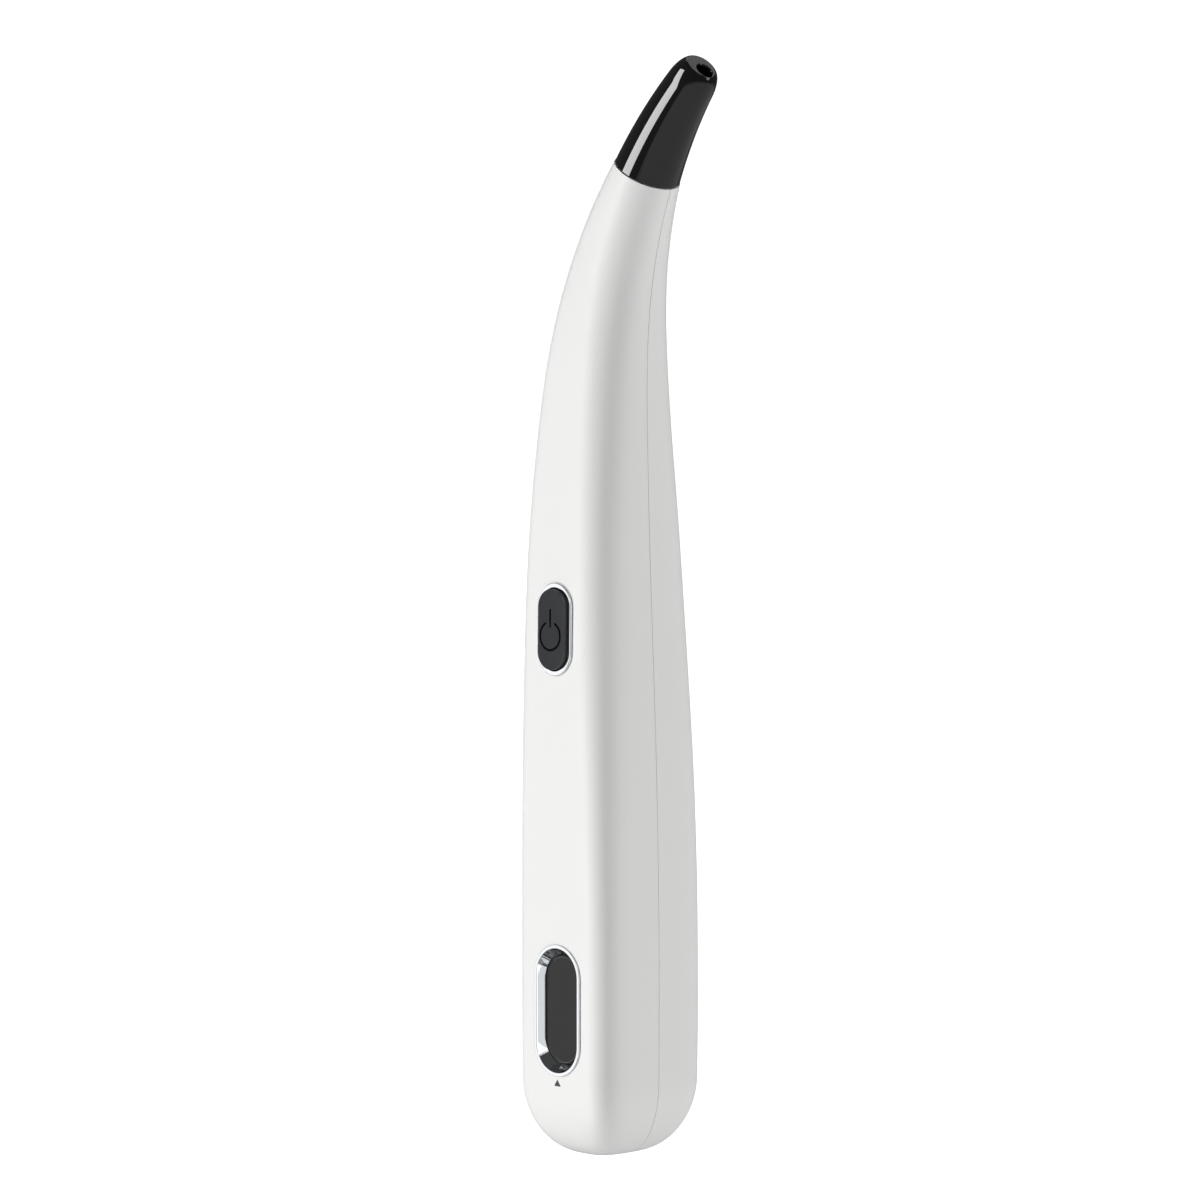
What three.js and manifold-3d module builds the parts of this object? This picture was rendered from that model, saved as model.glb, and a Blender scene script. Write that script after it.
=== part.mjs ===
// Pen-style cordless dental curing light: a curved white wand with a black light hood on its tip.
// Units are millimetres, +Z is up, and the button and display face -Y. The origin is the middle of the
// flat under the base, and the wand bends in the XZ plane, towards +X.

import * as THREE from 'three';
import { ParametricGeometry } from 'three/addons/geometries/ParametricGeometry.js';
import { mergeVertices } from 'three/addons/utils/BufferGeometryUtils.js';
import Module from 'manifold-3d';

const wasm = await Module();
wasm.setup();

// ---------------------------------------------------------------- driving dimensions

// The wand's outside, measured along its curved spine from the base to the light exit
const SHELL_LENGTH = 184;
const HOOD_LENGTH = 24.2;
const BODY_WIDTH = 24.6;
const BODY_DEPTH = 27.3;
const SEAM_DIAMETER = 12.6;
const TIP_DIAMETER = 8.4;
const SEAM_LEAN = 28;
const TIP_LEAN = 43.4;

// Rounding of the two ends: how tall the rounding is, and how far it draws the outline in
const BASE_ROUND_HEIGHT = 14;
const BASE_ROUND_INSET = 8.6;
const BASE_SQUARENESS = 2.6;
const TIP_ROUND_HEIGHT = 4.2;
const TIP_ROUND_INSET = 1.5;

// Walls and fits, how far a cut runs past a face, and how deep the openings of the front face are cut
const SHELL_WALL = 1.6;
const BASE_WALL = 2.2;
const HOOD_WALL = 1.2;
const GAP = 0.3;
const SLIDE_GAP = 0.2;
const STACK_GAP = 0.1;
const LIP_GAP = 0.06;
const CUT_PAST = 1;
const OPENING_DEPTH = 4;
const PARTING_Y = 0.6;

// Power button, its chrome ring and the switch behind it
const BUTTON_AT = 98.4;
const BUTTON_RING = { width: 8.85, height: 17.1, lip: 0.45, proud: 0.4, wall: 0.45 };
const BUTTON_PROUD = 1.4;
const BUTTON_BEVEL = 0.2;
const FLANGE_LIP = 0.8;
const FLANGE_THICKNESS = 0.7;
const SYMBOL = { radius: 2.6, line: 0.45, depth: 0.25, drop: 1.2, gapAngle: 28, barFrom: 0.55, barTo: 3.6 };
const PAD = { radius: 2.2, thickness: 0.5 };
const PLUNGER = { radius: 0.9, length: 1.1, travel: 0.3 };
const SWITCH_SIZE = 6;

// Display: chrome bezel, whose wall leans in less at its sides than at its ends, dark window, foam frame
// and the digit module
const DISPLAY_AT = 27.75;
const BEZEL = { width: 12, height: 24.55, lip: 0.7, proud: 0.3, depth: 1.8, wall: 0.35 };
const BEZEL_TAPER = { side: 0.75, end: 1.4, sliver: 0.01 };
const WINDOW = { overlap: 0.6, thickness: 1.0 };
const FOAM_FRAME = { border: 1.2, thickness: 0.4 };
const DIGITS = { width: 8.8, height: 20, thickness: 2.4 };

// Main board, the parts on it and its screws
const BOARD = { setBack: 7.0, thickness: 1.0, sideMargin: 1.4, maxHalfWidth: 8, endMargin: 13.5 };
const BOARD_SCREW = { shank: 0.6, head: 1.3, headHeight: 1.0, length: 4.6, side: 6.0 };
const SCREW_ENDS = { point: 0.8, round: 0.6 };
const BOSS = { radius: 1.9, pilot: 0.85, aboveDisplay: 2, belowButton: 3 };
const PART_HEIGHT = 2.2;
const CONTROLLER = { size: 6, thickness: 1.0, above: 25 };
const INDUCTOR = { radius: 2.9, above: 2 };
const BUZZER = { radius: 4.2, below: 1 };
const CONNECTOR = { width: 6.2, height: 4.4, above: 4 };

// Battery and its foam
const CELL = { length: 50, bottom: 9.5, topRadius: 2.6, topHeight: 0.8, chamfer: 0.4 };
const CELL_FOAM = { width: 7, thickness: 0.6, fromEnds: 8 };

// Charging contacts in the base and the small board they stand on
const CONTACT = { radius: 1.1, length: 4.2, headRadius: 1.5, headThickness: 0.6, spacing: 5.8, recess: 0.2 };
const CHARGE_BOARD = { width: 9, depth: 13, thickness: 0.8 };

// Light engine in the neck and hood
const HEAT_SINK_LENGTH = 22;
const HEAT_SINK_NOSE = 4.5;
const HOOD_SEAL = { section: 0.3, above: 2.2 };
const LED_BOARD_THICKNESS = 1.0;
const LED = { size: 3.4, base: 0.8, dome: 1.35 };
const GUIDE = { entry: 3.0, exit: 1.5, above: 0.5 };
const EXIT = { bore: 1.6, shift: 1.0, lensSetBack: 1.0, lensThickness: 1.2, frontWall: 2.6 };

const LENS_DOME = [[1, 0.6], [0.8, 0.8], [0.45, 0.95]];

// Wires: where their ends lie, and how far they rise before they turn
const LED_WIRE = { radius: 0.55, side: 1.9, startBelow: 1, startBehind: 0.9, rise: 6, drift: 0.3, past: 2 };
const LEAD = { radius: 0.6, side: 1.6, above: 0.2, rise: 1.2, turn: 0.6, startShare: 0.6, turnShare: 0.7 };
const LEAD_END = { below: 2.4, straight: 1.2 };
const CHARGE_LEAD = { side: 2.4, behind: 1.5, drift: 0.3, rise: 2, below: 1, above: 4 };
const LEAD_STEPS = 10;
const LED_WIRE_STEPS = 24;

// How finely round shapes are cut into faces
const AROUND = 40;
const RIM_STEPS = 8;
const ROUND_STEPS = 16;
const FINE_STEPS = 24;
const NECK_START = 0.62;
const SPINE_STEP = 0.5;
const SPINE_SPARE = 4;
const FACE_REACH = 4;
const ROUNDING = 1e9;

// Shape of the shells along the spine. Each row holds the share of the shell's length, the share of the
// seam's lean, the shares of the way from the seam's size out to the body's width and depth, and the
// squareness of the section (2 is an ellipse, 6 a box with soft corners).
const STATIONS = [
  [0.00, 0.00, 0.98, 1.00, 5.5],
  [0.16, 0.00, 1.00, 1.00, 6.0],
  [0.33, -0.04, 0.98, 1.00, 5.5],
  [0.49, -0.06, 0.93, 0.93, 4.5],
  [0.62, -0.01, 0.83, 0.80, 4.0],
  [0.73, 0.06, 0.70, 0.62, 3.4],
  [0.815, 0.24, 0.54, 0.45, 3.0],
  [0.91, 0.62, 0.28, 0.22, 2.5],
  [1.00, 1.00, 0.00, 0.00, 2.1],
];

// ---------------------------------------------------------------- derived dimensions

const WAND_LENGTH = SHELL_LENGTH + HOOD_LENGTH;
const SEAM_RADIUS = SEAM_DIAMETER / 2;
const TIP_RADIUS = TIP_DIAMETER / 2;
const WALL_MIDDLE = SHELL_WALL / 2;

// ---------------------------------------------------------------- the wand's shape

// Smooth curve through the stations: a cubic between each two, with the slope of their neighbours
function stationValue(share, column) {
  const last = STATIONS.length - 1;
  const held = Math.min(Math.max(share, 0), 1);
  let i = 0;
  while (i < last - 1 && held > STATIONS[i + 1][0]) i += 1;
  const slopeAt = (k) => {
    const before = STATIONS[Math.max(k - 1, 0)];
    const after = STATIONS[Math.min(k + 1, last)];
    return (after[column] - before[column]) / (after[0] - before[0]);
  };
  const span = STATIONS[i + 1][0] - STATIONS[i][0];
  const t = (held - STATIONS[i][0]) / span;
  const start = STATIONS[i][column];
  const end = STATIONS[i + 1][column];
  return start * (2 * t ** 3 - 3 * t ** 2 + 1) + slopeAt(i) * span * (t ** 3 - 2 * t ** 2 + t)
    + end * (3 * t ** 2 - 2 * t ** 3) + slopeAt(i + 1) * span * (t ** 3 - t ** 2);
}

// The spine's angle from upright, in radians, at a distance along it
function leanAt(s) {
  const inHood = Math.max(s - SHELL_LENGTH, 0) / HOOD_LENGTH;
  const degrees = stationValue(s / SHELL_LENGTH, 1) * SEAM_LEAN + inHood * (TIP_LEAN - SEAM_LEAN);
  return THREE.MathUtils.degToRad(degrees);
}

// Points of the spine, one for each half millimetre
const spinePoints = [new THREE.Vector3(0, 0, 0)];
for (let s = SPINE_STEP; s <= WAND_LENGTH + SPINE_SPARE; s += SPINE_STEP) {
  const lean = leanAt(s - SPINE_STEP / 2);
  const step = new THREE.Vector3(Math.sin(lean), 0, Math.cos(lean)).multiplyScalar(SPINE_STEP);
  spinePoints.push(spinePoints[spinePoints.length - 1].clone().add(step));
}

function spinePoint(s) {
  const index = Math.min(Math.floor(s / SPINE_STEP), spinePoints.length - 2);
  const share = s / SPINE_STEP - index;
  return spinePoints[index].clone().lerp(spinePoints[index + 1], share);
}

// Quarter-ellipse rounding near an end: how far the outline is drawn in at a distance from that end
function roundedInset(distance, height, inset) {
  const fromTop = Math.min(Math.max(1 - distance / height, 0), 1);
  return inset * (1 - Math.sqrt(1 - fromTop ** 2));
}

// Half width, half depth and squareness of the outside at a distance along the spine
function sectionAt(s) {
  if (s > SHELL_LENGTH) {
    const share = (s - SHELL_LENGTH) / HOOD_LENGTH;
    const drawnIn = roundedInset(WAND_LENGTH - s, TIP_ROUND_HEIGHT, TIP_ROUND_INSET);
    const radius = SEAM_RADIUS + share * (TIP_RADIUS - SEAM_RADIUS) - drawnIn;
    return { halfWidth: radius, halfDepth: radius, power: 2 };
  }
  const share = s / SHELL_LENGTH;
  const drawnIn = roundedInset(s, BASE_ROUND_HEIGHT, BASE_ROUND_INSET);
  return {
    halfWidth: SEAM_RADIUS + stationValue(share, 2) * (BODY_WIDTH / 2 - SEAM_RADIUS) - drawnIn,
    halfDepth: SEAM_RADIUS + stationValue(share, 3) * (BODY_DEPTH / 2 - SEAM_RADIUS) - drawnIn,
    power: stationValue(share, 4) - (stationValue(share, 4) - BASE_SQUARENESS) * drawnIn / BASE_ROUND_INSET,
  };
}

// A point of the wand's surface, or of a surface that lies `inset` inside it
function wandPoint(s, turn, inset = 0) {
  const { halfWidth, halfDepth, power } = sectionAt(s);
  const angle = turn * 2 * Math.PI;
  const bulge = (value) => {
    const rounded = Math.round(value * ROUNDING) / ROUNDING;
    return Math.sign(rounded) * Math.abs(rounded) ** (2 / power);
  };
  const across = (halfWidth - inset) * bulge(Math.cos(angle));
  const along = (halfDepth - inset) * bulge(Math.sin(angle));
  const lean = leanAt(s);
  const side = new THREE.Vector3(Math.cos(lean), 0, -Math.sin(lean));
  return spinePoint(s).addScaledVector(side, across).add(new THREE.Vector3(0, along, 0));
}

// A frame on the front face: local +Z points out of the face and local +Y runs up it
function faceFrame(s) {
  const front = wandPoint(s, 0.75);
  const up = wandPoint(s + FACE_REACH, 0.75).sub(wandPoint(s - FACE_REACH, 0.75)).normalize();
  const lean = leanAt(s);
  const side = new THREE.Vector3(Math.cos(lean), 0, -Math.sin(lean));
  side.addScaledVector(up, -side.dot(up)).normalize();
  const out = new THREE.Vector3().crossVectors(side, up);
  return new THREE.Matrix4().makeBasis(side, up, out).setPosition(front);
}

// A frame on the spine: local +Y runs along the spine, as a lathe's axis does
function spineFrame(s) {
  const lean = leanAt(s);
  const side = new THREE.Vector3(Math.cos(lean), 0, -Math.sin(lean));
  const along = new THREE.Vector3(Math.sin(lean), 0, Math.cos(lean));
  const out = new THREE.Vector3().crossVectors(side, along);
  return new THREE.Matrix4().makeBasis(side, along, out).setPosition(spinePoint(s));
}

// The light leaves a little off the spine, towards the inside of the bend
function exitFrame(s) {
  return spineFrame(s).multiply(new THREE.Matrix4().makeTranslation(EXIT.shift, 0, 0));
}

// ---------------------------------------------------------------- solids

// A closed geometry as a solid that can be joined and cut
function solid(geometry, matrix = null) {
  const bare = geometry.clone();
  bare.deleteAttribute('normal');
  bare.deleteAttribute('uv');
  if (matrix) bare.applyMatrix4(matrix);
  const merged = mergeVertices(bare, 1e-4);
  const corners = merged.index.array;
  const kept = [];
  for (let i = 0; i < corners.length; i += 3) {
    const [a, b, c] = [corners[i], corners[i + 1], corners[i + 2]];
    if (a !== b && b !== c && c !== a) kept.push(a, b, c);
  }
  const vertProperties = Float32Array.from(merged.attributes.position.array);
  const triVerts = Uint32Array.from(kept);
  return new wasm.Manifold(new wasm.Mesh({ numProp: 3, vertProperties, triVerts }));
}

// A solid as a geometry for a mesh
function geometryOf(body) {
  const mesh = body.getMesh();
  const geometry = new THREE.BufferGeometry();
  geometry.setAttribute('position', new THREE.BufferAttribute(mesh.vertProperties, 3));
  geometry.setIndex(new THREE.BufferAttribute(mesh.triVerts, 1));
  geometry.computeVertexNormals();
  return geometry;
}

// A closed solid through rings, where pointAt(ring, turn) gives its surface; both ends are flat
function loft(rings, pointAt, around) {
  const stacks = rings.length + 1;
  const middle = (ring) => pointAt(ring, 0).add(pointAt(ring, 0.5)).multiplyScalar(0.5);
  const surface = (turn, v, target) => {
    const stack = Math.round(v * stacks);
    if (stack === 0) return target.copy(middle(rings[0]));
    if (stack === stacks) return target.copy(middle(rings[rings.length - 1]));
    return target.copy(pointAt(rings[stack - 1], Math.round(turn * around) / around % 1));
  };
  return solid(new ParametricGeometry(surface, around, stacks));
}

// Evenly spread values, both ends included
function spread(from, to, count) {
  return Array.from({ length: count + 1 }, (_, i) => from + (to - from) * i / count);
}

// A solid that follows the wand's outline, `inset` inside it
function wandSolid(rings, inset, around = AROUND) {
  return loft(rings, (s, turn) => wandPoint(s, turn, inset), around);
}

// A round outline with two straight sides, such as the button's or the display's
function stadium(width, height) {
  const radius = width / 2;
  const straight = height / 2 - radius;
  const shape = new THREE.Shape();
  shape.absarc(0, straight, radius, 0, Math.PI, false);
  shape.absarc(0, -straight, radius, Math.PI, 2 * Math.PI, false);
  shape.closePath();
  return shape;
}

// A plate of an outline, from one local height to another
function plate(shape, from, to) {
  const settings = { depth: to - from, bevelEnabled: false, curveSegments: RIM_STEPS };
  return solid(new THREE.ExtrudeGeometry(shape, settings).translate(0, 0, from));
}

// A plate whose edge is chamfered at its lower or upper face
function chamferedPlate(shape, from, to, chamferHeight, chamferSize) {
  const settings = {
    depth: to - from - 2 * chamferHeight,
    bevelThickness: chamferHeight,
    bevelSize: chamferSize,
    bevelOffset: 0,
    bevelSegments: 1,
    curveSegments: RIM_STEPS,
  };
  return solid(new THREE.ExtrudeGeometry(shape, settings).translate(0, 0, from + chamferHeight));
}

// A solid that runs straight from one outline at a local height to a wider one at another
function tapered(lower, from, upper, to) {
  const ends = [
    plate(lower, from, from + BEZEL_TAPER.sliver),
    plate(upper, to - BEZEL_TAPER.sliver, to),
  ];
  return wasm.Manifold.hull(ends);
}

// A block between two corners
function block(low, high) {
  const size = high.map((value, i) => value - low[i]);
  const centre = high.map((value, i) => (value + low[i]) / 2);
  return solid(new THREE.BoxGeometry(...size).translate(...centre));
}

// A turned solid: pairs of radius and height, which start and end on the axis
function turned(profile, matrix = null, steps = ROUND_STEPS) {
  const points = profile.map(([radius, height]) => new THREE.Vector2(radius, height));
  return solid(new THREE.LatheGeometry(points, steps), matrix);
}

// A rod whose axis runs along +Y, from one y to another
function rod(radius, x, z, fromY, toY, steps = ROUND_STEPS) {
  const cylinder = new THREE.CylinderGeometry(radius, radius, toY - fromY, steps);
  return solid(cylinder.translate(x, (fromY + toY) / 2, z));
}

// A round wire through points
function wire(points, radius, steps) {
  const path = new THREE.CatmullRomCurve3(points.map((point) => new THREE.Vector3(...point)));
  const outline = new THREE.Shape();
  outline.absarc(0, 0, radius, 0, 2 * Math.PI, false);
  return solid(new THREE.ExtrudeGeometry(outline, { steps, extrudePath: path, curveSegments: 3 }));
}

// ---------------------------------------------------------------- materials and the scene graph

function finish(color, roughness, metalness = 0, extra = {}) {
  return new THREE.MeshStandardMaterial({ color, roughness, metalness, ...extra });
}

const FINISHES = {
  whiteGloss: () => finish(0xf2f2f1, 0.18),
  blackGloss: () => finish(0x0b0b0c, 0.08),
  darkKey: () => finish(0x3b3d40, 0.35),
  chrome: () => finish(0xe6e8ea, 0.08, 1),
  darkGlass: () => finish(0x24262a, 0.1),
  clear: () => finish(0xdfe8f0, 0.05, 0, { transparent: true, opacity: 0.4 }),
  aluminium: () => finish(0xb9bcc0, 0.35, 1),
  boardGreen: () => finish(0x1f5a3a, 0.5),
  boardWhite: () => finish(0xe9e9e4, 0.5),
  blackPart: () => finish(0x1a1a1b, 0.55),
  ferrite: () => finish(0x3c3c3e, 0.7),
  silicone: () => finish(0x8d9194, 0.7),
  foam: () => finish(0x26272a, 0.95),
  cellWrap: () => finish(0x2c6fb0, 0.4),
  gold: () => finish(0xd9b25a, 0.25, 1),
  steel: () => finish(0xa9acb0, 0.3, 1),
  amber: () => finish(0xe8d36a, 0.3),
  redWire: () => finish(0xb02a24, 0.5),
  blackWire: () => finish(0x17181a, 0.5),
};

const group = new THREE.Group();
group.name = 'curing_light';

function addPiece(name, body, finishName, parent = group) {
  const mesh = new THREE.Mesh(geometryOf(body), FINISHES[finishName]());
  mesh.name = name;
  parent.add(mesh);
  return mesh;
}

function addFrame(matrix) {
  const place = new THREE.Group();
  place.applyMatrix4(matrix);
  group.add(place);
  return place;
}

// ---------------------------------------------------------------- where the inner pieces lie

const buttonFrame = faceFrame(BUTTON_AT);
const displayFrame = faceFrame(DISPLAY_AT);
const buttonMiddle = new THREE.Vector3().setFromMatrixPosition(buttonFrame);
const displayMiddle = new THREE.Vector3().setFromMatrixPosition(displayFrame);

const boardFrontY = displayMiddle.y + BOARD.setBack;
const boardBackY = boardFrontY + BOARD.thickness;
const boardBottom = displayMiddle.z - BEZEL.height / 2;
const boardTop = buttonMiddle.z + BOARD.endMargin;

const cellTop = CELL.bottom + CELL.length;
const plugBottom = cellTop + CELL.topHeight + CONNECTOR.above;
const plugTop = plugBottom + CONNECTOR.height;

const seatDepth = {
  ringEnd: -(SHELL_WALL + STACK_GAP),
  bezelEnd: -BEZEL.depth,
};

// Half the room across the inside of the shells at a height and a depth
function cavityHalfWidth(s, y) {
  const { halfWidth, halfDepth, power } = sectionAt(s);
  const share = Math.min(Math.abs(y) / (halfDepth - SHELL_WALL), 1);
  return (halfWidth - SHELL_WALL) * (1 - share ** power) ** (1 / power);
}

// ---------------------------------------------------------------- shells

const baseRings = spread(0, Math.PI / 2, 6).map((angle) => BASE_ROUND_HEIGHT * (1 - Math.cos(angle)));
const bodyRings = spread(BASE_ROUND_HEIGHT, SHELL_LENGTH * NECK_START, 8).slice(1);
const neckRings = spread(SHELL_LENGTH * NECK_START, SHELL_LENGTH, 14).slice(1);
const outerRings = [...baseRings, ...bodyRings, ...neckRings];
const innerRings = [BASE_WALL, ...outerRings.filter((s) => s > BASE_WALL + 0.5 && s < SHELL_LENGTH)];
innerRings.push(SHELL_LENGTH + CUT_PAST);

// The hollow is open at the neck, so its last ring passes the shells' end
function hollowPoint(s, turn) {
  if (s <= SHELL_LENGTH) return wandPoint(s, turn, SHELL_WALL);
  const end = wandPoint(SHELL_LENGTH, turn, SHELL_WALL);
  return end.add(spinePoint(s).sub(spinePoint(SHELL_LENGTH)));
}

const ringHole = {
  width: BUTTON_RING.width - 2 * BUTTON_RING.lip + 2 * SLIDE_GAP,
  height: BUTTON_RING.height - 2 * BUTTON_RING.lip + 2 * SLIDE_GAP,
};
const bezelHole = {
  width: BEZEL.width - 2 * BEZEL.lip + 2 * BEZEL.wall + 2 * SLIDE_GAP,
  height: BEZEL.height - 2 * BEZEL.lip + 2 * BEZEL.wall + 2 * SLIDE_GAP,
};

// A cut right through a shell's wall, from well inside it to well outside
function cutter(frame, outline) {
  const through = plate(stadium(outline.width, outline.height), -OPENING_DEPTH, SHELL_WALL);
  return through.transform(frame.elements);
}

// Screw places on the main board: one pair above the display and one pair below the button
const screwHeights = [
  displayMiddle.z + BEZEL.height / 2 + BOSS.radius + BOSS.aboveDisplay,
  buttonMiddle.z - BUTTON_RING.height / 2 - BOSS.radius - BOSS.belowButton,
];
const screwPlaces = [];
for (const z of screwHeights) {
  const middleX = spinePoint(z).x;
  screwPlaces.push({ x: middleX - BOARD_SCREW.side, z }, { x: middleX + BOARD_SCREW.side, z });
}

const contactPlaces = [
  { name: 'charge_contact_front', y: -CONTACT.spacing / 2 + PARTING_Y / 2 },
  { name: 'charge_contact_rear', y: CONTACT.spacing / 2 + PARTING_Y / 2 },
];

function makeShells() {
  const outside = wandSolid(outerRings, 0);
  const hollow = loft(innerRings, hollowPoint, AROUND);
  let casing = outside.subtract(hollow);
  for (const { x, z } of screwPlaces) {
    const wallY = -(sectionAt(z).halfDepth - WALL_MIDDLE);
    const boss = rod(BOSS.radius, x, z, wallY, boardFrontY - GAP);
    const pilot = rod(BOSS.pilot, x, z, wallY + CUT_PAST, boardFrontY);
    casing = casing.add(boss).subtract(pilot);
  }
  casing = casing.subtract(cutter(buttonFrame, ringHole)).subtract(cutter(displayFrame, bezelHole));
  for (const { y } of contactPlaces) {
    const shoulder = CONTACT.recess + CONTACT.headThickness + SLIDE_GAP;
    const well = turned([
      [0, -CUT_PAST],
      [CONTACT.headRadius + SLIDE_GAP, -CUT_PAST],
      [CONTACT.headRadius + SLIDE_GAP, shoulder],
      [CONTACT.radius + SLIDE_GAP, shoulder],
      [CONTACT.radius + SLIDE_GAP, BASE_WALL + CUT_PAST],
      [0, BASE_WALL + CUT_PAST],
    ], new THREE.Matrix4().makeRotationX(Math.PI / 2).setPosition(0, y, 0));
    casing = casing.subtract(well);
  }
  const reach = 2 * WAND_LENGTH;
  const front = block([-reach, -reach, -reach], [reach, PARTING_Y - GAP / 2, reach]);
  const rear = block([-reach, PARTING_Y + GAP / 2, -reach], [reach, reach, reach]);
  addPiece('front_shell', casing.intersect(front), 'whiteGloss');
  addPiece('rear_shell', casing.intersect(rear), 'whiteGloss');
}

// ---------------------------------------------------------------- power button

function makeButton() {
  const place = addFrame(buttonFrame);
  const sleeve = {
    width: BUTTON_RING.width - 2 * BUTTON_RING.lip,
    height: BUTTON_RING.height - 2 * BUTTON_RING.lip,
  };
  const opening = {
    width: sleeve.width - 2 * BUTTON_RING.wall,
    height: sleeve.height - 2 * BUTTON_RING.wall,
  };
  const inside = stadium(opening.width, opening.height);
  const ring = plate(stadium(BUTTON_RING.width, BUTTON_RING.height), LIP_GAP, BUTTON_RING.proud)
    .add(plate(stadium(sleeve.width, sleeve.height), seatDepth.ringEnd, BUTTON_RING.proud))
    .subtract(plate(inside, seatDepth.ringEnd - CUT_PAST, BUTTON_RING.proud + CUT_PAST));
  addPiece('button_ring', ring, 'chrome', place);

  const key = { width: opening.width - 2 * SLIDE_GAP, height: opening.height - 2 * SLIDE_GAP };
  const flangeTop = seatDepth.ringEnd - GAP;
  const flangeBottom = flangeTop - FLANGE_THICKNESS;
  const top = stadium(key.width - 2 * BUTTON_BEVEL, key.height - 2 * BUTTON_BEVEL);
  const cap = chamferedPlate(top, flangeBottom, BUTTON_PROUD, BUTTON_BEVEL, BUTTON_BEVEL)
    .add(plate(stadium(key.width, key.height), flangeBottom + STACK_GAP, BUTTON_PROUD - BUTTON_BEVEL));
  const flange = stadium(opening.width + 2 * FLANGE_LIP, opening.height + 2 * FLANGE_LIP);
  addPiece('power_button', cap.add(plate(flange, flangeBottom, flangeTop)).subtract(powerSymbol()),
    'darkKey', place);

  const padTop = flangeBottom - STACK_GAP / 2;
  const padBottom = padTop - PAD.thickness;
  const toFace = new THREE.Matrix4().makeRotationX(Math.PI / 2);
  const pad = turned([[0, padBottom], [PAD.radius, padBottom], [PAD.radius, padTop], [0, padTop]], toFace);
  addPiece('button_pad', pad, 'silicone', place);

  const plungerTop = padBottom - GAP;
  const plungerBottom = plungerTop - PLUNGER.length;
  const switchTop = plungerTop - PLUNGER.travel - STACK_GAP;
  const boreBottom = plungerBottom - PLUNGER.travel - STACK_GAP;
  const plunger = turned([
    [0, plungerBottom],
    [PLUNGER.radius, plungerBottom],
    [PLUNGER.radius, plungerTop],
    [0, plungerTop],
  ], toFace);
  addPiece('switch_plunger', plunger, 'blackPart', place);
  // The board stands upright and the button face leans a little, so the switch stops short of the board
  const out = new THREE.Vector3().setFromMatrixColumn(buttonFrame, 2);
  const half = SWITCH_SIZE / 2;
  const leanRoom = Math.abs(out.z) * half;
  const switchBottom = -(boardFrontY - buttonMiddle.y) * Math.abs(out.y) + leanRoom + SLIDE_GAP;
  const bore = turned([
    [0, boreBottom],
    [PLUNGER.radius + SLIDE_GAP, boreBottom],
    [PLUNGER.radius + SLIDE_GAP, switchTop + CUT_PAST],
    [0, switchTop + CUT_PAST],
  ], toFace);
  addPiece('switch_body', block([-half, -half, switchBottom], [half, half, switchTop]).subtract(bore),
    'blackPart', place);
}

// The engraved power symbol: a broken ring with a bar through its gap
function powerSymbol() {
  const gap = THREE.MathUtils.degToRad(SYMBOL.gapAngle);
  const outer = SYMBOL.radius + SYMBOL.line / 2;
  const inner = SYMBOL.radius - SYMBOL.line / 2;
  const arc = new THREE.Shape();
  arc.absarc(0, 0, outer, Math.PI / 2 + gap, Math.PI / 2 - gap + 2 * Math.PI, false);
  arc.absarc(0, 0, inner, Math.PI / 2 - gap + 2 * Math.PI, Math.PI / 2 + gap, true);
  arc.closePath();
  const from = BUTTON_PROUD - SYMBOL.depth;
  const to = BUTTON_PROUD + CUT_PAST;
  const ring = plate(arc, from, to).translate([0, -SYMBOL.drop, 0]);
  const bar = block([-SYMBOL.line / 2, SYMBOL.barFrom, from], [SYMBOL.line / 2, SYMBOL.barTo, to]);
  return ring.add(bar);
}

// ---------------------------------------------------------------- display

function makeDisplay() {
  const place = addFrame(displayFrame);
  const rim = { width: BEZEL.width - 2 * BEZEL.lip, height: BEZEL.height - 2 * BEZEL.lip };
  const floor = { width: rim.width - 2 * BEZEL_TAPER.side, height: rim.height - 2 * BEZEL_TAPER.end };
  const sleeve = { width: rim.width + 2 * BEZEL.wall, height: rim.height + 2 * BEZEL.wall };
  const taperCut = tapered(stadium(floor.width, floor.height), seatDepth.bezelEnd,
    stadium(rim.width, rim.height), BEZEL.proud);
  const bezel = plate(stadium(BEZEL.width, BEZEL.height), LIP_GAP, BEZEL.proud)
    .add(plate(stadium(sleeve.width, sleeve.height), seatDepth.bezelEnd, BEZEL.proud))
    .subtract(taperCut);
  addPiece('display_bezel', bezel, 'chrome', place);

  const windowTop = seatDepth.bezelEnd - STACK_GAP;
  const windowBottom = windowTop - WINDOW.thickness;
  const pane = { width: floor.width + 2 * WINDOW.overlap, height: floor.height + 2 * WINDOW.overlap };
  addPiece('display_window', plate(stadium(pane.width, pane.height), windowBottom, windowTop),
    'darkGlass', place);

  const frameTop = windowBottom - STACK_GAP;
  const frameBottom = frameTop - FOAM_FRAME.thickness;
  const inside = stadium(pane.width - 2 * FOAM_FRAME.border, pane.height - 2 * FOAM_FRAME.border);
  const foam = plate(stadium(pane.width, pane.height), frameBottom, frameTop)
    .subtract(plate(inside, frameBottom - CUT_PAST, frameTop + CUT_PAST));
  addPiece('window_foam', foam, 'foam', place);

  const digitsTop = frameBottom - STACK_GAP;
  const across = DIGITS.width / 2;
  const up = DIGITS.height / 2;
  addPiece('digit_module', block([-across, -up, digitsTop - DIGITS.thickness], [across, up, digitsTop]),
    'blackPart', place);
}

// ---------------------------------------------------------------- main board

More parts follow.
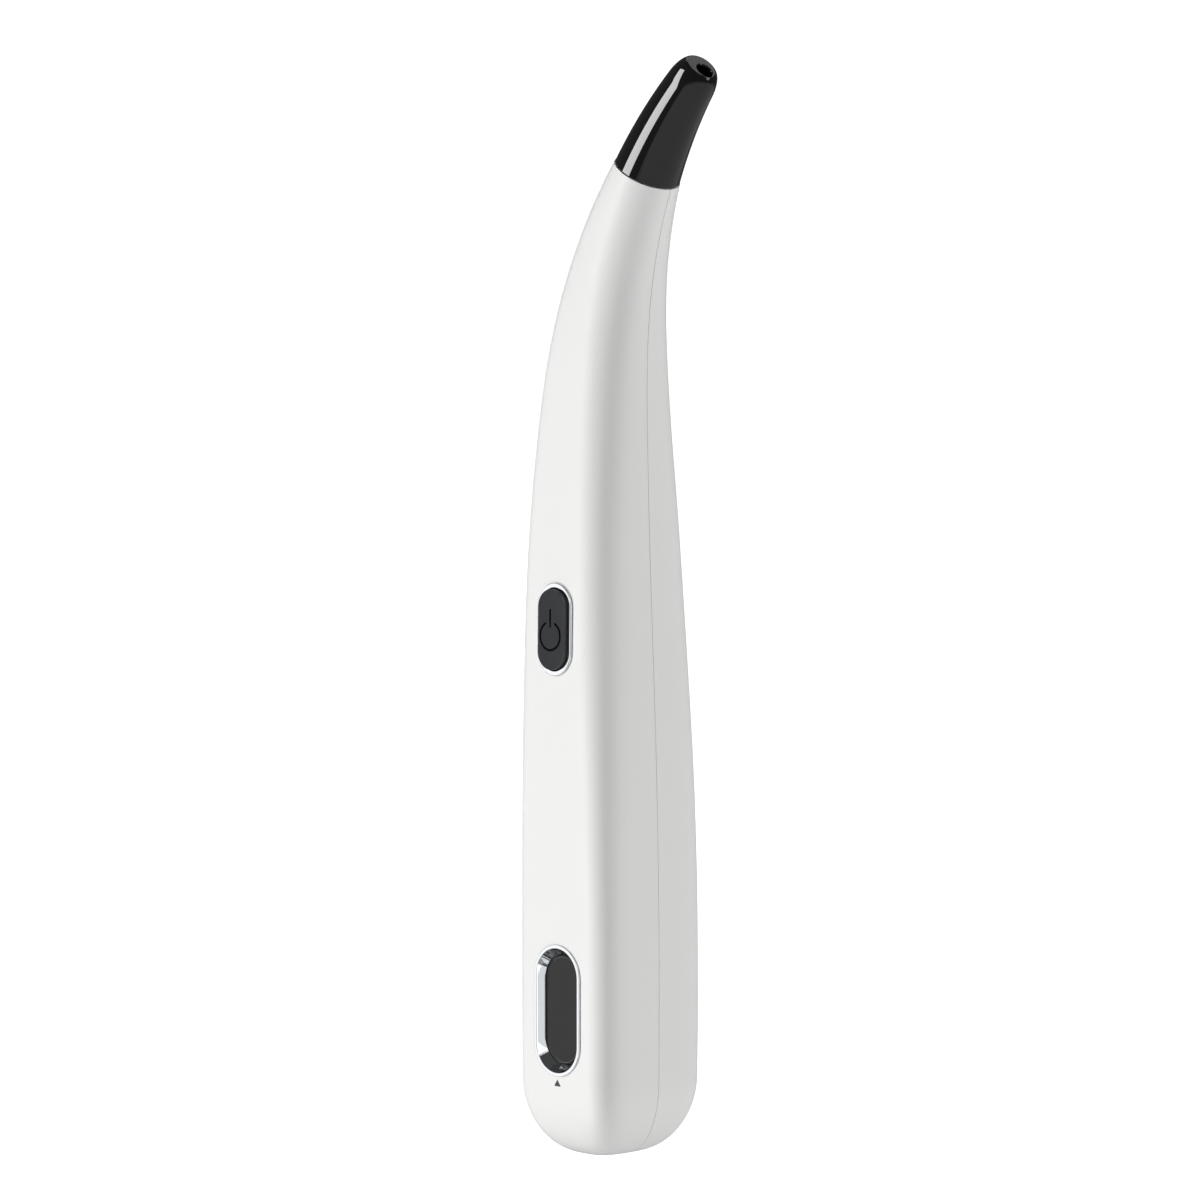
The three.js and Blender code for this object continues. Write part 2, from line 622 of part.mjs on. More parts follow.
function makeBoard() {
  const heights = spread(boardBottom, boardTop, 12);
  const room = heights.map((s) => cavityHalfWidth(s, boardFrontY) - BOARD.sideMargin);
  const half = Math.min(BOARD.maxHalfWidth, ...room);
  const middleX = spinePoint(buttonMiddle.z).x / 2;
  let board = block([middleX - half, boardFrontY, boardBottom], [middleX + half, boardBackY, boardTop]);
  const holeRadius = BOARD_SCREW.shank + SLIDE_GAP;
  for (const { x, z } of screwPlaces) {
    board = board.subtract(rod(holeRadius, x, z, boardFrontY - CUT_PAST, boardBackY + CUT_PAST));
  }
  addPiece('main_board', board, 'boardGreen');
  screwPlaces.forEach(({ x, z }, i) => {
    const underHead = boardBackY + STACK_GAP;
    const toPlace = new THREE.Matrix4().setPosition(x, underHead, z);
    const screw = turned([
      [0, -BOARD_SCREW.length],
      [BOARD_SCREW.shank / 2, -BOARD_SCREW.length],
      [BOARD_SCREW.shank, -BOARD_SCREW.length + SCREW_ENDS.point],
      [BOARD_SCREW.shank, 0],
      [BOARD_SCREW.head, 0],
      [BOARD_SCREW.head, BOARD_SCREW.headHeight * SCREW_ENDS.round],
      [BOARD_SCREW.head * SCREW_ENDS.round, BOARD_SCREW.headHeight],
      [0, BOARD_SCREW.headHeight],
    ], toPlace, 12);
    addPiece(`board_screw_${i + 1}`, screw, 'steel');
  });

  const partFront = boardBackY + STACK_GAP;
  const chipHalf = CONTROLLER.size / 2;
  const chipZ = displayMiddle.z + CONTROLLER.above;
  addPiece('controller_chip', block(
    [middleX - chipHalf, partFront, chipZ - chipHalf],
    [middleX + chipHalf, partFront + CONTROLLER.thickness, chipZ + chipHalf],
  ), 'blackPart');
  const coilZ = plugTop + INDUCTOR.above + INDUCTOR.radius;
  addPiece('driver_inductor', rod(INDUCTOR.radius, middleX, coilZ, partFront, partFront + PART_HEIGHT),
    'ferrite');
  const buzzerZ = boardTop - BUZZER.radius - BUZZER.below;
  addPiece('buzzer', rod(BUZZER.radius, middleX, buzzerZ, partFront, partFront + PART_HEIGHT), 'blackPart');
}

// ---------------------------------------------------------------- battery

function makeBattery() {
  const front = boardBackY + STACK_GAP + PART_HEIGHT + GAP;
  const inside = sectionAt(CELL.bottom + BASE_ROUND_HEIGHT).halfDepth - SHELL_WALL;
  const rear = inside - 2 * GAP - CELL_FOAM.thickness;
  const radius = (rear - front) / 2;
  const middleY = (rear + front) / 2;
  const upright = new THREE.Matrix4().makeRotationX(Math.PI / 2).setPosition(0, middleY, 0);
  const cell = turned([
    [0, CELL.bottom],
    [radius - CELL.chamfer, CELL.bottom],
    [radius, CELL.bottom + CELL.chamfer],
    [radius, cellTop - CELL.chamfer],
    [radius - CELL.chamfer, cellTop],
    [CELL.topRadius, cellTop],
    [CELL.topRadius, cellTop + CELL.topHeight],
    [0, cellTop + CELL.topHeight],
  ], upright, 28);
  addPiece('battery_cell', cell, 'cellWrap');
  const foamY = middleY + radius + GAP;
  addPiece('battery_foam', block(
    [-CELL_FOAM.width / 2, foamY, CELL.bottom + CELL_FOAM.fromEnds],
    [CELL_FOAM.width / 2, foamY + CELL_FOAM.thickness, cellTop - CELL_FOAM.fromEnds],
  ), 'foam');

  const half = CONNECTOR.width / 2;
  const plugFront = boardBackY + STACK_GAP;
  addPiece('battery_connector', block(
    [-half, plugFront, plugBottom],
    [half, plugFront + PART_HEIGHT, plugTop],
  ), 'boardWhite');
  const leadY = plugFront + PART_HEIGHT / 2;
  const names = ['battery_lead_negative', 'battery_lead_positive'];
  names.forEach((name, i) => {
    const x = (2 * i - 1) * LEAD.side;
    const start = cellTop + CELL.topHeight + LEAD.above;
    const lead = wire([
      [x * LEAD.startShare, middleY, start],
      [x * LEAD.turnShare, middleY - LEAD.turn, start + LEAD.rise],
      [x, (middleY + leadY) / 2, plugBottom - LEAD_END.below],
      [x, leadY, plugBottom - LEAD_END.straight],
      [x, leadY, plugBottom - GAP],
    ], LEAD.radius, LEAD_STEPS);
    addPiece(name, lead, i === 0 ? 'blackWire' : 'redWire');
  });
}

// ---------------------------------------------------------------- charging contacts

function makeCharging() {
  for (const { name, y } of contactPlaces) {
    const upright = new THREE.Matrix4().makeRotationX(Math.PI / 2).setPosition(0, y, 0);
    const headTop = CONTACT.recess + CONTACT.headThickness;
    const contact = turned([
      [0, CONTACT.recess],
      [CONTACT.headRadius, CONTACT.recess],
      [CONTACT.headRadius, headTop],
      [CONTACT.radius, headTop],
      [CONTACT.radius, CONTACT.length],
      [0, CONTACT.length],
    ], upright);
    addPiece(name, contact, 'gold');
  }
  const bottom = CONTACT.length + STACK_GAP;
  addPiece('charge_board', block(
    [-CHARGE_BOARD.width / 2, -CHARGE_BOARD.depth / 2, bottom],
    [CHARGE_BOARD.width / 2, CHARGE_BOARD.depth / 2, bottom + CHARGE_BOARD.thickness],
  ), 'boardGreen');
  const start = bottom + CHARGE_BOARD.thickness + SLIDE_GAP;
  const startY = boardFrontY + CHARGE_LEAD.behind;
  const names = ['charge_wire_negative', 'charge_wire_positive'];
  names.forEach((name, i) => {
    const x = (2 * i - 1) * CHARGE_LEAD.side;
    const backY = boardBackY + LEAD.radius + GAP;
    const lead = wire([
      [x, startY, start],
      [x, startY + CHARGE_LEAD.drift, start + CHARGE_LEAD.rise],
      [x, backY, boardBottom - CHARGE_LEAD.below],
      [x, backY, boardBottom + CHARGE_LEAD.above],
    ], LEAD.radius, LEAD_STEPS);
    addPiece(name, lead, i === 0 ? 'blackWire' : 'redWire');
  });
}

// ---------------------------------------------------------------- light engine and hood

function ledWirePoints(side) {
  const startZ = boardTop - LED_WIRE.startBelow;
  const turnZ = startZ + LED_WIRE.rise;
  const startY = boardBackY + LED_WIRE.startBehind + PART_HEIGHT;
  const neckStart = SHELL_LENGTH - HEAT_SINK_LENGTH;
  const points = [
    [spinePoint(startZ).x + side, startY, startZ],
    [spinePoint(turnZ).x + side, startY + LED_WIRE.drift, turnZ],
  ];
  for (const s of spread((startZ + 2 * neckStart) / 3, SHELL_LENGTH + HEAT_SINK_NOSE - SLIDE_GAP, 5)) {
    const lean = leanAt(s);
    const middle = spinePoint(s);
    points.push([middle.x + side * Math.cos(lean), 0, middle.z - side * Math.sin(lean)]);
  }
  return points;
}

function makeLightEngine() {
  const sinkTop = SHELL_LENGTH + HEAT_SINK_NOSE;
  const inset = SHELL_WALL + GAP;
  let sink = wandSolid(spread(SHELL_LENGTH - HEAT_SINK_LENGTH, sinkTop, 8), inset, FINE_STEPS);
  const names = ['led_wire_negative', 'led_wire_positive'];
  names.forEach((name, i) => {
    const points = ledWirePoints((2 * i - 1) * LED_WIRE.side);
    const last = points[points.length - 1];
    const onward = spinePoint(sinkTop + LED_WIRE.past).sub(spinePoint(sinkTop - SLIDE_GAP));
    const route = [...points, last.map((value, k) => value + onward.getComponent(k))];
    sink = sink.subtract(wire(route, LED_WIRE.radius + GAP, LED_WIRE_STEPS));
    addPiece(name, wire(points, LED_WIRE.radius, LED_WIRE_STEPS), i === 0 ? 'blackWire' : 'redWire');
  });
  addPiece('heat_sink', sink, 'aluminium');

  const sealAt = SHELL_LENGTH + HOOD_SEAL.above;
  const sinkRadius = sectionAt(sealAt).halfWidth - inset;
  const sealRadius = (sinkRadius + sectionAt(sealAt).halfWidth - HOOD_WALL) / 2;
  const seal = new THREE.TorusGeometry(sealRadius, HOOD_SEAL.section, 6, FINE_STEPS).rotateX(Math.PI / 2);
  addPiece('hood_seal', solid(seal, spineFrame(sealAt)), 'silicone');

  const boardStart = sinkTop + SLIDE_GAP;
  const boardEnd = boardStart + LED_BOARD_THICKNESS;
  const boardRadius = sectionAt(boardEnd).halfWidth - HOOD_WALL - GAP;
  const disc = turned([
    [0, 0],
    [boardRadius, 0],
    [boardRadius, LED_BOARD_THICKNESS],
    [0, LED_BOARD_THICKNESS],
  ], spineFrame(boardStart), 28);
  addPiece('led_board', disc, 'boardWhite');

  const half = LED.size / 2;
  const domeRings = spread(0, Math.PI / 2, 6);
  const ledBase = solid(new THREE.BoxGeometry(LED.size, LED.base, LED.size).translate(0, LED.base / 2, 0));
  const dome = turned([
    [0, LED.base / 2],
    ...domeRings.map((angle) => [LED.dome * Math.cos(angle), LED.base + LED.dome * Math.sin(angle)]),
  ].map(([radius, height], i, all) => [i === all.length - 1 ? 0 : Math.min(radius, half), height]));
  addPiece('led_emitter', ledBase.add(dome).transform(spineFrame(boardEnd + STACK_GAP).elements), 'amber');

  const lensEnd = WAND_LENGTH - EXIT.lensSetBack;
  const lensStart = lensEnd - EXIT.lensThickness;
  const guideStart = boardEnd + STACK_GAP + LED.base + LED.dome + GUIDE.above;
  const guideEnd = WAND_LENGTH - EXIT.frontWall - GAP;
  const guide = loft(spread(guideStart, guideEnd, 5), (s, turn) => {
    const share = (s - guideStart) / (guideEnd - guideStart);
    const radius = GUIDE.entry + share * (GUIDE.exit - GUIDE.entry);
    const angle = turn * 2 * Math.PI;
    const middle = share * EXIT.shift;
    const place = new THREE.Vector3(middle + radius * Math.cos(angle), 0, -radius * Math.sin(angle));
    return place.applyMatrix4(spineFrame(s));
  }, 20);
  addPiece('light_guide', guide, 'clear');

  const lensRadius = EXIT.bore - SLIDE_GAP;
  const lens = turned([
    [0, 0],
    [lensRadius, 0],
    ...LENS_DOME.map(([radius, height]) => [lensRadius * radius, EXIT.lensThickness * height]),
    [0, EXIT.lensThickness],
  ], exitFrame(lensStart), FINE_STEPS);
  addPiece('exit_lens', lens, 'clear');
}

function makeHood() {
  const start = SHELL_LENGTH + GAP;
  const roundStart = WAND_LENGTH - TIP_ROUND_HEIGHT;
  const roundRings = spread(0, Math.PI / 2, 5)
    .map((angle) => roundStart + TIP_ROUND_HEIGHT * Math.sin(angle)).slice(1);
  const outside = wandSolid([...spread(start, roundStart, 8), ...roundRings], 0, 36);
  const cavityEnd = WAND_LENGTH - EXIT.frontWall;
  const hollowRings = [SHELL_LENGTH - CUT_PAST, ...spread(start, cavityEnd, 5)];
  const hollow = wandSolid(hollowRings, HOOD_WALL, FINE_STEPS);
  const bore = turned([
    [0, -EXIT.frontWall - CUT_PAST],
    [EXIT.bore, -EXIT.frontWall - CUT_PAST],
    [EXIT.bore, CUT_PAST],
    [0, CUT_PAST],
  ], exitFrame(WAND_LENGTH), FINE_STEPS);
  addPiece('tip_hood', outside.subtract(hollow).subtract(bore), 'blackGloss');
}

makeShells();
makeButton();
makeDisplay();
makeBoard();
makeBattery();
makeCharging();
makeLightEngine();
makeHood();

export default group;
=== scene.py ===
"""Looks of a pen-style dental curing light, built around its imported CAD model.

Lengths are in metres and the frame is the CAD's: +Z is up, the button and display face -Y, and the wand
bends towards +X. The outside is rebuilt at a finer resolution from the same rule as the CAD shape.
"""

import math

import bmesh
import bpy
from bpy.props import FloatProperty, FloatVectorProperty, IntProperty, PointerProperty
from mathutils import Matrix, Quaternion, Vector


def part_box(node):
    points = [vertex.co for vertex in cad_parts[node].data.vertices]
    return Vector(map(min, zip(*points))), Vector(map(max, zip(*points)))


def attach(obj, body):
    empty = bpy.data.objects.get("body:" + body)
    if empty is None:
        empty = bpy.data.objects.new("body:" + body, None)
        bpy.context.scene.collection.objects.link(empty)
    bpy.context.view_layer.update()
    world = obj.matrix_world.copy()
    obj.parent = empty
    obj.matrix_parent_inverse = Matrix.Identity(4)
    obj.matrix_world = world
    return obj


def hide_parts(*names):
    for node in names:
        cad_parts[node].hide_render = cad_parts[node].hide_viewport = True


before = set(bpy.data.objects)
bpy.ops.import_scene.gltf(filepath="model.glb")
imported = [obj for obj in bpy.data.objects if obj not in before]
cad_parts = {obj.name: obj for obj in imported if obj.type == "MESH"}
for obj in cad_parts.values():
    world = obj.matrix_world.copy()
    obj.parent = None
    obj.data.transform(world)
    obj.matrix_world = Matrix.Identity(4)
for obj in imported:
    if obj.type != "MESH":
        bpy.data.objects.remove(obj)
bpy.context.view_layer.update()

bl_info = {
    "name": "Curing light looks",
    "version": (1, 0, 0),
    "blender": (4, 5, 0),
    "location": "3D View > Sidebar > Curing Light",
    "description": "Builds the outside, the finishes and the studio of a cordless dental curing light",
    "category": "Object",
}

MM = 0.001

# ---------------------------------------------------------------- fixed shape rules

# Shape of the shells along the spine. Each row holds the share of the shell's length, the share of the
# seam's lean, the shares of the way from the seam's size out to the body's width and depth, and the
# squareness of the section (2 is an ellipse, 6 a box with soft corners).
STATIONS = (
    (0.00, 0.00, 0.98, 1.00, 5.5),
    (0.16, 0.00, 1.00, 1.00, 6.0),
    (0.33, -0.04, 0.98, 1.00, 5.5),
    (0.49, -0.06, 0.93, 0.93, 4.5),
    (0.62, -0.01, 0.83, 0.80, 4.0),
    (0.73, 0.06, 0.70, 0.62, 3.4),
    (0.815, 0.24, 0.54, 0.45, 3.0),
    (0.91, 0.62, 0.28, 0.22, 2.5),
    (1.00, 1.00, 0.00, 0.00, 2.1),
)
# The CAD parts that stay, by the finish that they get
INNER_PARTS = {
    "clear_optic": ("light_guide",),
    "aluminium_core": ("heat_sink",),
    "green_laminate": ("main_board", "charge_board"),
    "white_laminate": ("led_board", "battery_connector"),
    "black_moulding": ("digit_module", "controller_chip", "buzzer", "switch_body", "switch_plunger"),
    "ferrite": ("driver_inductor",),
    "silicone": ("button_pad", "hood_seal"),
    "foam": ("window_foam", "battery_foam"),
    "cell_wrap": ("battery_cell",),
    "gold_contact": ("charge_contact_front", "charge_contact_rear"),
    "screw_steel": ("board_screw_1", "board_screw_2", "board_screw_3", "board_screw_4"),
    "phosphor": ("led_emitter",),
    "red_insulation": ("battery_lead_positive", "charge_wire_positive", "led_wire_positive"),
    "black_insulation": ("battery_lead_negative", "charge_wire_negative", "led_wire_negative"),
}
# Distance between the points of the spine, and how far they go on past the light exit
SPINE_STEP = 0.5 * MM
SPINE_SPARE = 6 * MM
# How far above and below a place on the front face its slope is measured
FACE_REACH = 4 * MM

# How finely the pieces are divided: rings along the spine, and points round it or round a pill
RINGS = {"base": 28, "body": 170, "hollow": 90, "hood": 60, "tip": 24, "hood_hollow": 30}
AROUND = {"hollow": 128, "hood": 160, "hood_hollow": 96, "rod": 40, "lens": 64, "button": 128, "display": 144}

# Openings in the front shell: how much narrower they are than the trim over them, and how deep they cut
RING_COVERS = 0.5 * MM
BEZEL_COVERS = 0.3 * MM
OPENING_DEPTH = 4 * MM
OPENING_ABOVE = 1.6 * MM
# How far a cutting block reaches, which is past the whole wand
CUT_REACH = 0.3
# The neck's bore, from below the seam to above it
NECK_BORE = (-3 * MM, 2 * MM)
# Bosses in front of the board screws: radii of the boss and of its pilot hole, the gap to the board, how
# far under the outside the boss starts, and how far past that its hole stops
BOSS_RADIUS, PILOT_RADIUS = 1.9 * MM, 0.85 * MM
BOSS_GAP, BOSS_START, PILOT_STOP = 0.3 * MM, 0.8 * MM, 1 * MM
# Wells of the charging contacts: radii of head and shank, and the heights of the two steps
WELL_HEAD, WELL_SHANK = 1.7 * MM, 1.3 * MM
WELL_STEP, WELL_TOP = 1 * MM, 3.2 * MM

# Height over the shell's face at which the lips of the ring and the bezel start
LIP_START = 0.06 * MM
# A crowned top starts at this angle of its edge rounding, in degrees, and has one more point in its
# profile, this share of its width in from the edge
CROWN_FROM = 84
CROWN_MIDWAY = 0.3

# The studio's surroundings: a pale side to the right and below, and a dim one to the left and above
BRIGHT_SIDE = (0.782, 0.255, -0.568)
BRIGHT_LEVEL = 0.47
DIM_LEVEL = 0.09
SIDE_EDGE = (-0.03, 0.03)
LOW_EDGE = (-0.2, -0.38)

# The camera: its turn round from the front face and its tilt down, where it stands, and its long lens
CAMERA_TURN, CAMERA_TILT = math.radians(45.49), math.radians(5.39)
CAMERA_DISTANCE, CAMERA_HEIGHT, CAMERA_SLIDE = 1.335, 0.229, -1.87 * MM
CAMERA_LENS, CAMERA_SENSOR = 217.4, 36.0
# The point that every light faces
LIGHTS_AIM = (0.005, 0, 0.1)


# ---------------------------------------------------------------- settings a user would change


def length(name, description, millimetres):
    """A length setting: given here in millimetres, held in metres."""
    return FloatProperty(name=name, description=description, default=millimetres * MM, unit="LENGTH")


class WandSizes(bpy.types.PropertyGroup):
    """Sizes of the white wand and its black hood"""

    shell_length: length("Shell length", "Length of the white shells along the spine", 184)
    hood_length: length("Hood length", "Length of the black hood along the spine", 24.2)
    body_width: length("Body width", "Widest part of the handle across its front face", 24.6)
    body_depth: length("Body depth", "Deepest part of the handle from front to back", 27.3)
    seam_diameter: length("Seam diameter", "Width of the wand where the hood meets the shells", 12.6)
    tip_diameter: length("Tip diameter", "Width of the hood at its end, before its rounding", 8.4)
    seam_lean: FloatProperty(
        name="Lean at the seam", description="How far the spine has turned from upright at the seam",
        default=math.radians(28), subtype="ANGLE")
    tip_lean: FloatProperty(
        name="Lean at the tip", description="How far the spine has turned from upright at the light exit",
        default=math.radians(43.4), subtype="ANGLE")
    base_round_height: length("Base rounding height", "Height over which the base is rounded", 14)
    base_round_inset: length(
        "Base rounding inset", "How far the rounding draws in the flat under the base", 8.6)
    base_squareness: FloatProperty(
        name="Base squareness", description="Squareness of the outline at the flat under the base",
        default=2.6)
    tip_round_height: length("Tip rounding height", "Height over which the hood's end is rounded", 4.2)
    tip_round_inset: length("Tip rounding inset", "How far the rounding draws in the hood's end face", 1.5)
    shell_wall: length("Shell wall", "Wall of the white shells", 1.6)
    base_wall: length("Base wall", "Floor of the white shells", 2.2)
    hood_wall: length("Hood wall", "Wall of the black hood", 1.2)
    seam_gap: length("Seam gap", "Gap between the shells and the hood", 0.3)
    parting_y: length("Parting line", "Where the front shell meets the rear one, along Y", 0.6)
    parting_gap: length("Parting gap", "Width of the fine line between the two shells", 0.1)
    exit_bore: length("Exit bore", "Radius of the hole that the light leaves through", 1.6)
    exit_shift: length("Exit shift", "How far the exit lies off the spine, inside the bend", 1)
    exit_wall: length("Exit wall", "Thickness of the hood's end round the light exit", 2.6)
    points_around: IntProperty(
        name="Points around", description="Points of one ring of the wand's skin", default=256, min=24)


class ControlSizes(bpy.types.PropertyGroup):
    """Sizes of the power button, its ring, the display and the printed mark"""

    button_at: length("Button place", "Middle of the button, measured along the spine", 98.4)
    ring_width: length("Ring width", "Outer width of the chrome ring", 8.85)
    ring_height: length("Ring height", "Outer height of the chrome ring", 17.1)
    key_gap: length("Key gap", "Gap between the button and its ring", 0.2)
    key_proud: length("Key height", "How far the button stands out of the face", 1.4)
    symbol_radius: length("Symbol radius", "Radius of the engraved power symbol", 2.6)
    symbol_line: length("Symbol line", "Width of the engraved line", 0.45)
    display_at: length("Display place", "Middle of the display, measured along the spine", 27.75)
    bezel_width: length("Bezel width", "Outer width of the chrome bezel", 12)
    bezel_height: length("Bezel height", "Outer height of the chrome bezel", 24.55)
    bezel_side_taper: length("Bezel side taper", "How far the bezel's wall leans in at its two sides", 0.75)
    bezel_end_taper: length("Bezel end taper", "How far the bezel's wall leans in at its two ends", 1.4)
    mark_side: length("Mark size", "Side of the small printed triangle", 1.7)
    mark_drop: length("Mark place", "How far the triangle's middle lies under the bezel's edge", 1.2)


def hex_colour(digits):
    """An sRGB hex colour as linear red, green and blue."""
    channels = [int(digits[i:i + 2], 16) / 255 for i in (0, 2, 4)]
    return [c / 12.92 if c <= 0.04045 else ((c + 0.055) / 1.055) ** 2.4 for c in channels]


def colour_property(name, description, digits):
    return FloatVectorProperty(
        name=name, description=description, default=hex_colour(digits), subtype="COLOR", size=3,
        min=0, max=1)


class FinishColours(bpy.types.PropertyGroup):
    """Colours of the outside"""

    shell: colour_property("Shell", "White of the moulded shells", "efefee")
    hood: colour_property("Hood", "Black of the light hood", "0a0a0b")
    key: colour_property("Key", "Dark grey of the power button", "38393b")
    engraving: colour_property("Engraving", "Colour of the engraved symbol", "0e0e10")
    chrome: colour_property("Chrome", "Tint of the plated ring and bezel", "d9dbdd")
    window: colour_property("Window", "Smoked colour of the display window", "424243")
    mark: colour_property("Mark", "Grey ink of the small triangle", "55565a")
    floor: colour_property("Floor", "Pale floor of the studio", "f4f4f4")


def sizes():
    return bpy.context.scene.wand_sizes


def controls():
    return bpy.context.scene.control_sizes


def colours():
    return bpy.context.scene.finish_colours


# ---------------------------------------------------------------- the wand's shape rule


def station_value(share, column):
    """Smooth curve through the stations: a cubic between each two, with the slope of their neighbours."""
    last = len(STATIONS) - 1
    held = min(max(share, 0), 1)
    i = 0
    while i < last - 1 and held > STATIONS[i + 1][0]:
        i += 1

    def slope(k):
        before, after = STATIONS[max(k - 1, 0)], STATIONS[min(k + 1, last)]
        return (after[column] - before[column]) / (after[0] - before[0])

    span = STATIONS[i + 1][0] - STATIONS[i][0]
    t = (held - STATIONS[i][0]) / span
    start, end = STATIONS[i][column], STATIONS[i + 1][column]
    return (start * (2 * t**3 - 3 * t**2 + 1) + slope(i) * span * (t**3 - 2 * t**2 + t)
            + end * (3 * t**2 - 2 * t**3) + slope(i + 1) * span * (t**3 - t**2))


def lean_at(s):
    """The spine's angle from upright at a distance along it."""
    z = sizes()
    in_hood = max(s - z.shell_length, 0) / z.hood_length
    return station_value(s / z.shell_length, 1) * z.seam_lean + in_hood * (z.tip_lean - z.seam_lean)


def spine_points():
    """Points of the spine, a step apart."""
    z = sizes()
    points = [Vector((0, 0, 0))]
    steps = int((z.shell_length + z.hood_length + SPINE_SPARE) / SPINE_STEP)
    for i in range(1, steps):
        lean = lean_at((i - 0.5) * SPINE_STEP)
        points.append(points[-1] + Vector((math.sin(lean), 0, math.cos(lean))) * SPINE_STEP)
    return points


def spine_point(s):
    points = spine_points.cached
    index = min(int(s / SPINE_STEP), len(points) - 2)
    return points[index].lerp(points[index + 1], s / SPINE_STEP - index)


def rounded_inset(distance, height, inset):
    """Quarter-ellipse rounding near an end: how far the outline is drawn in."""
    from_top = min(max(1 - distance / height, 0), 1)
    return inset * (1 - math.sqrt(1 - from_top**2))


def section_at(s):
    """Half width, half depth and squareness of the outside at a distance along the spine."""
    z = sizes()
    seam = z.seam_diameter / 2
    if s > z.shell_length:
        drawn = rounded_inset(z.shell_length + z.hood_length - s, z.tip_round_height, z.tip_round_inset)
        radius = seam + (s - z.shell_length) / z.hood_length * (z.tip_diameter / 2 - seam) - drawn
        return radius, radius, 2.0
    share = s / z.shell_length
    drawn = rounded_inset(s, z.base_round_height, z.base_round_inset)
    squareness = station_value(share, 4)
    return (
        seam + station_value(share, 2) * (z.body_width / 2 - seam) - drawn,
        seam + station_value(share, 3) * (z.body_depth / 2 - seam) - drawn,
        squareness - (squareness - z.base_squareness) * drawn / z.base_round_inset,
    )


def side_at(s):
    lean = lean_at(s)
    return Vector((math.cos(lean), 0, -math.sin(lean)))


def face_frame(s):
    """A frame on the front face: local +Z points out of the face and local +Y runs up it."""
    def front(at):
        return spine_point(at) - Vector((0, section_at(at)[1], 0))

    up = (front(s + FACE_REACH) - front(s - FACE_REACH)).normalized()
    side = side_at(s)
    side = (side - up * side.dot(up)).normalized()
    return frame_matrix(side, up, front(s))


def spine_frame(s):
    """A frame on the spine: local +Z runs along the spine, towards the light exit."""
    lean = lean_at(s)
    along = Vector((math.sin(lean), 0, math.cos(lean)))
    return frame_matrix(side_at(s), along.cross(side_at(s)), spine_point(s))


def frame_matrix(side, up, origin):
    matrix = Matrix((side, up, side.cross(up))).transposed().to_4x4()
    matrix.translation = origin
    return matrix


# ---------------------------------------------------------------- node and mesh helpers


MATH, VECTOR_MATH = "ShaderNodeMath", "ShaderNodeVectorMath"


def add_node(tree, kind, settings=None, inputs=None):
    """Adds a node, sets its properties, and sets or links each input.

    Settings that are a string name the node's operation. An input can be a value, a socket, or a node,
    which stands for its first output.
    """
    node = tree.nodes.new(kind)
    if isinstance(settings, str):
        settings = {"operation": settings}
    for key, value in (settings or {}).items():
        setattr(node, key, value)
    for key, value in (inputs or {}).items():
        if isinstance(value, bpy.types.Node):
            value = value.outputs[0]
        if isinstance(value, bpy.types.NodeSocket):
            tree.links.new(value, node.inputs[key])
        else:
            node.inputs[key].default_value = value
    return node


def start_tree(name, named_inputs):
    """A geometry tree with named inputs, whose first input and only output are a geometry."""
    tree = bpy.data.node_groups.new(name, "GeometryNodeTree")
    tree.interface.new_socket("Geometry", in_out="INPUT", socket_type="NodeSocketGeometry")
    for socket_name, socket_type in named_inputs:
        tree.interface.new_socket(socket_name, in_out="INPUT", socket_type=socket_type)
    tree.interface.new_socket("Geometry", in_out="OUTPUT", socket_type="NodeSocketGeometry")
    return tree, add_node(tree, "NodeGroupInput").outputs


def grid_of_rows(tree, given):
    """A grid with one row for each point of the given line, and the row, cosine and sine of each point.

    The angles start half a step past zero, so that no point lies on the middle of a straight side.
    """
    rows = add_node(tree, "GeometryNodeAttributeDomainSize", None, {0: given["Geometry"]})
    columns = add_node(tree, MATH, "ADD", {0: given["Points Around"], 1: 1.0})
    grid = add_node(tree, "GeometryNodeMeshGrid", None,
                    {"Vertices X": rows.outputs["Point Count"], "Vertices Y": columns})
    index = add_node(tree, "GeometryNodeInputIndex")
    share = add_node(tree, MATH, "DIVIDE", {0: index, 1: columns})
    nudged = add_node(tree, MATH, "ADD", {0: share, 1: 1e-5})
    row = add_node(tree, MATH, "FLOOR", {0: nudged})
    column = add_node(tree, MATH, "MODULO", {0: index, 1: columns})
    halfway = add_node(tree, MATH, "ADD", {0: column, 1: 0.5})
    turn = add_node(tree, MATH, "DIVIDE", {0: halfway, 1: given["Points Around"]})
    angle = add_node(tree, MATH, "MULTIPLY", {0: turn, 1: math.tau})
    cosine = add_node(tree, MATH, "COSINE", {0: angle})
    sine = add_node(tree, MATH, "SINE", {0: angle})
    return grid, row, cosine, sine


def row_value(tree, given, row, value):
    """The vector that the line's point holds for this row."""
    return add_node(tree, "GeometryNodeSampleIndex", {"data_type": "FLOAT_VECTOR", "domain": "POINT"},
                    {"Geometry": given["Geometry"], "Value": value, "Index": row})


def end_tree(tree, mesh, position, given):
    """Places the grid, welds where it meets itself, and gives it its material."""
    placed = add_node(tree, "GeometryNodeSetPosition", None, {"Geometry": mesh, "Position": position})
    welded = add_node(tree, "GeometryNodeMergeByDistance", None,
                      {"Geometry": placed, "Distance": 0.0005 * MM})
    smooth = add_node(tree, "GeometryNodeSetShadeSmooth", None, {"Geometry": welded})
    real = add_node(tree, "GeometryNodeRealizeInstances", None, {"Geometry": smooth})
    finished = add_node(tree, "GeometryNodeSetMaterial", None,
                        {"Geometry": real, "Material": given["Material"]})
    add_node(tree, "NodeGroupOutput", None, {"Geometry": finished})
    return tree


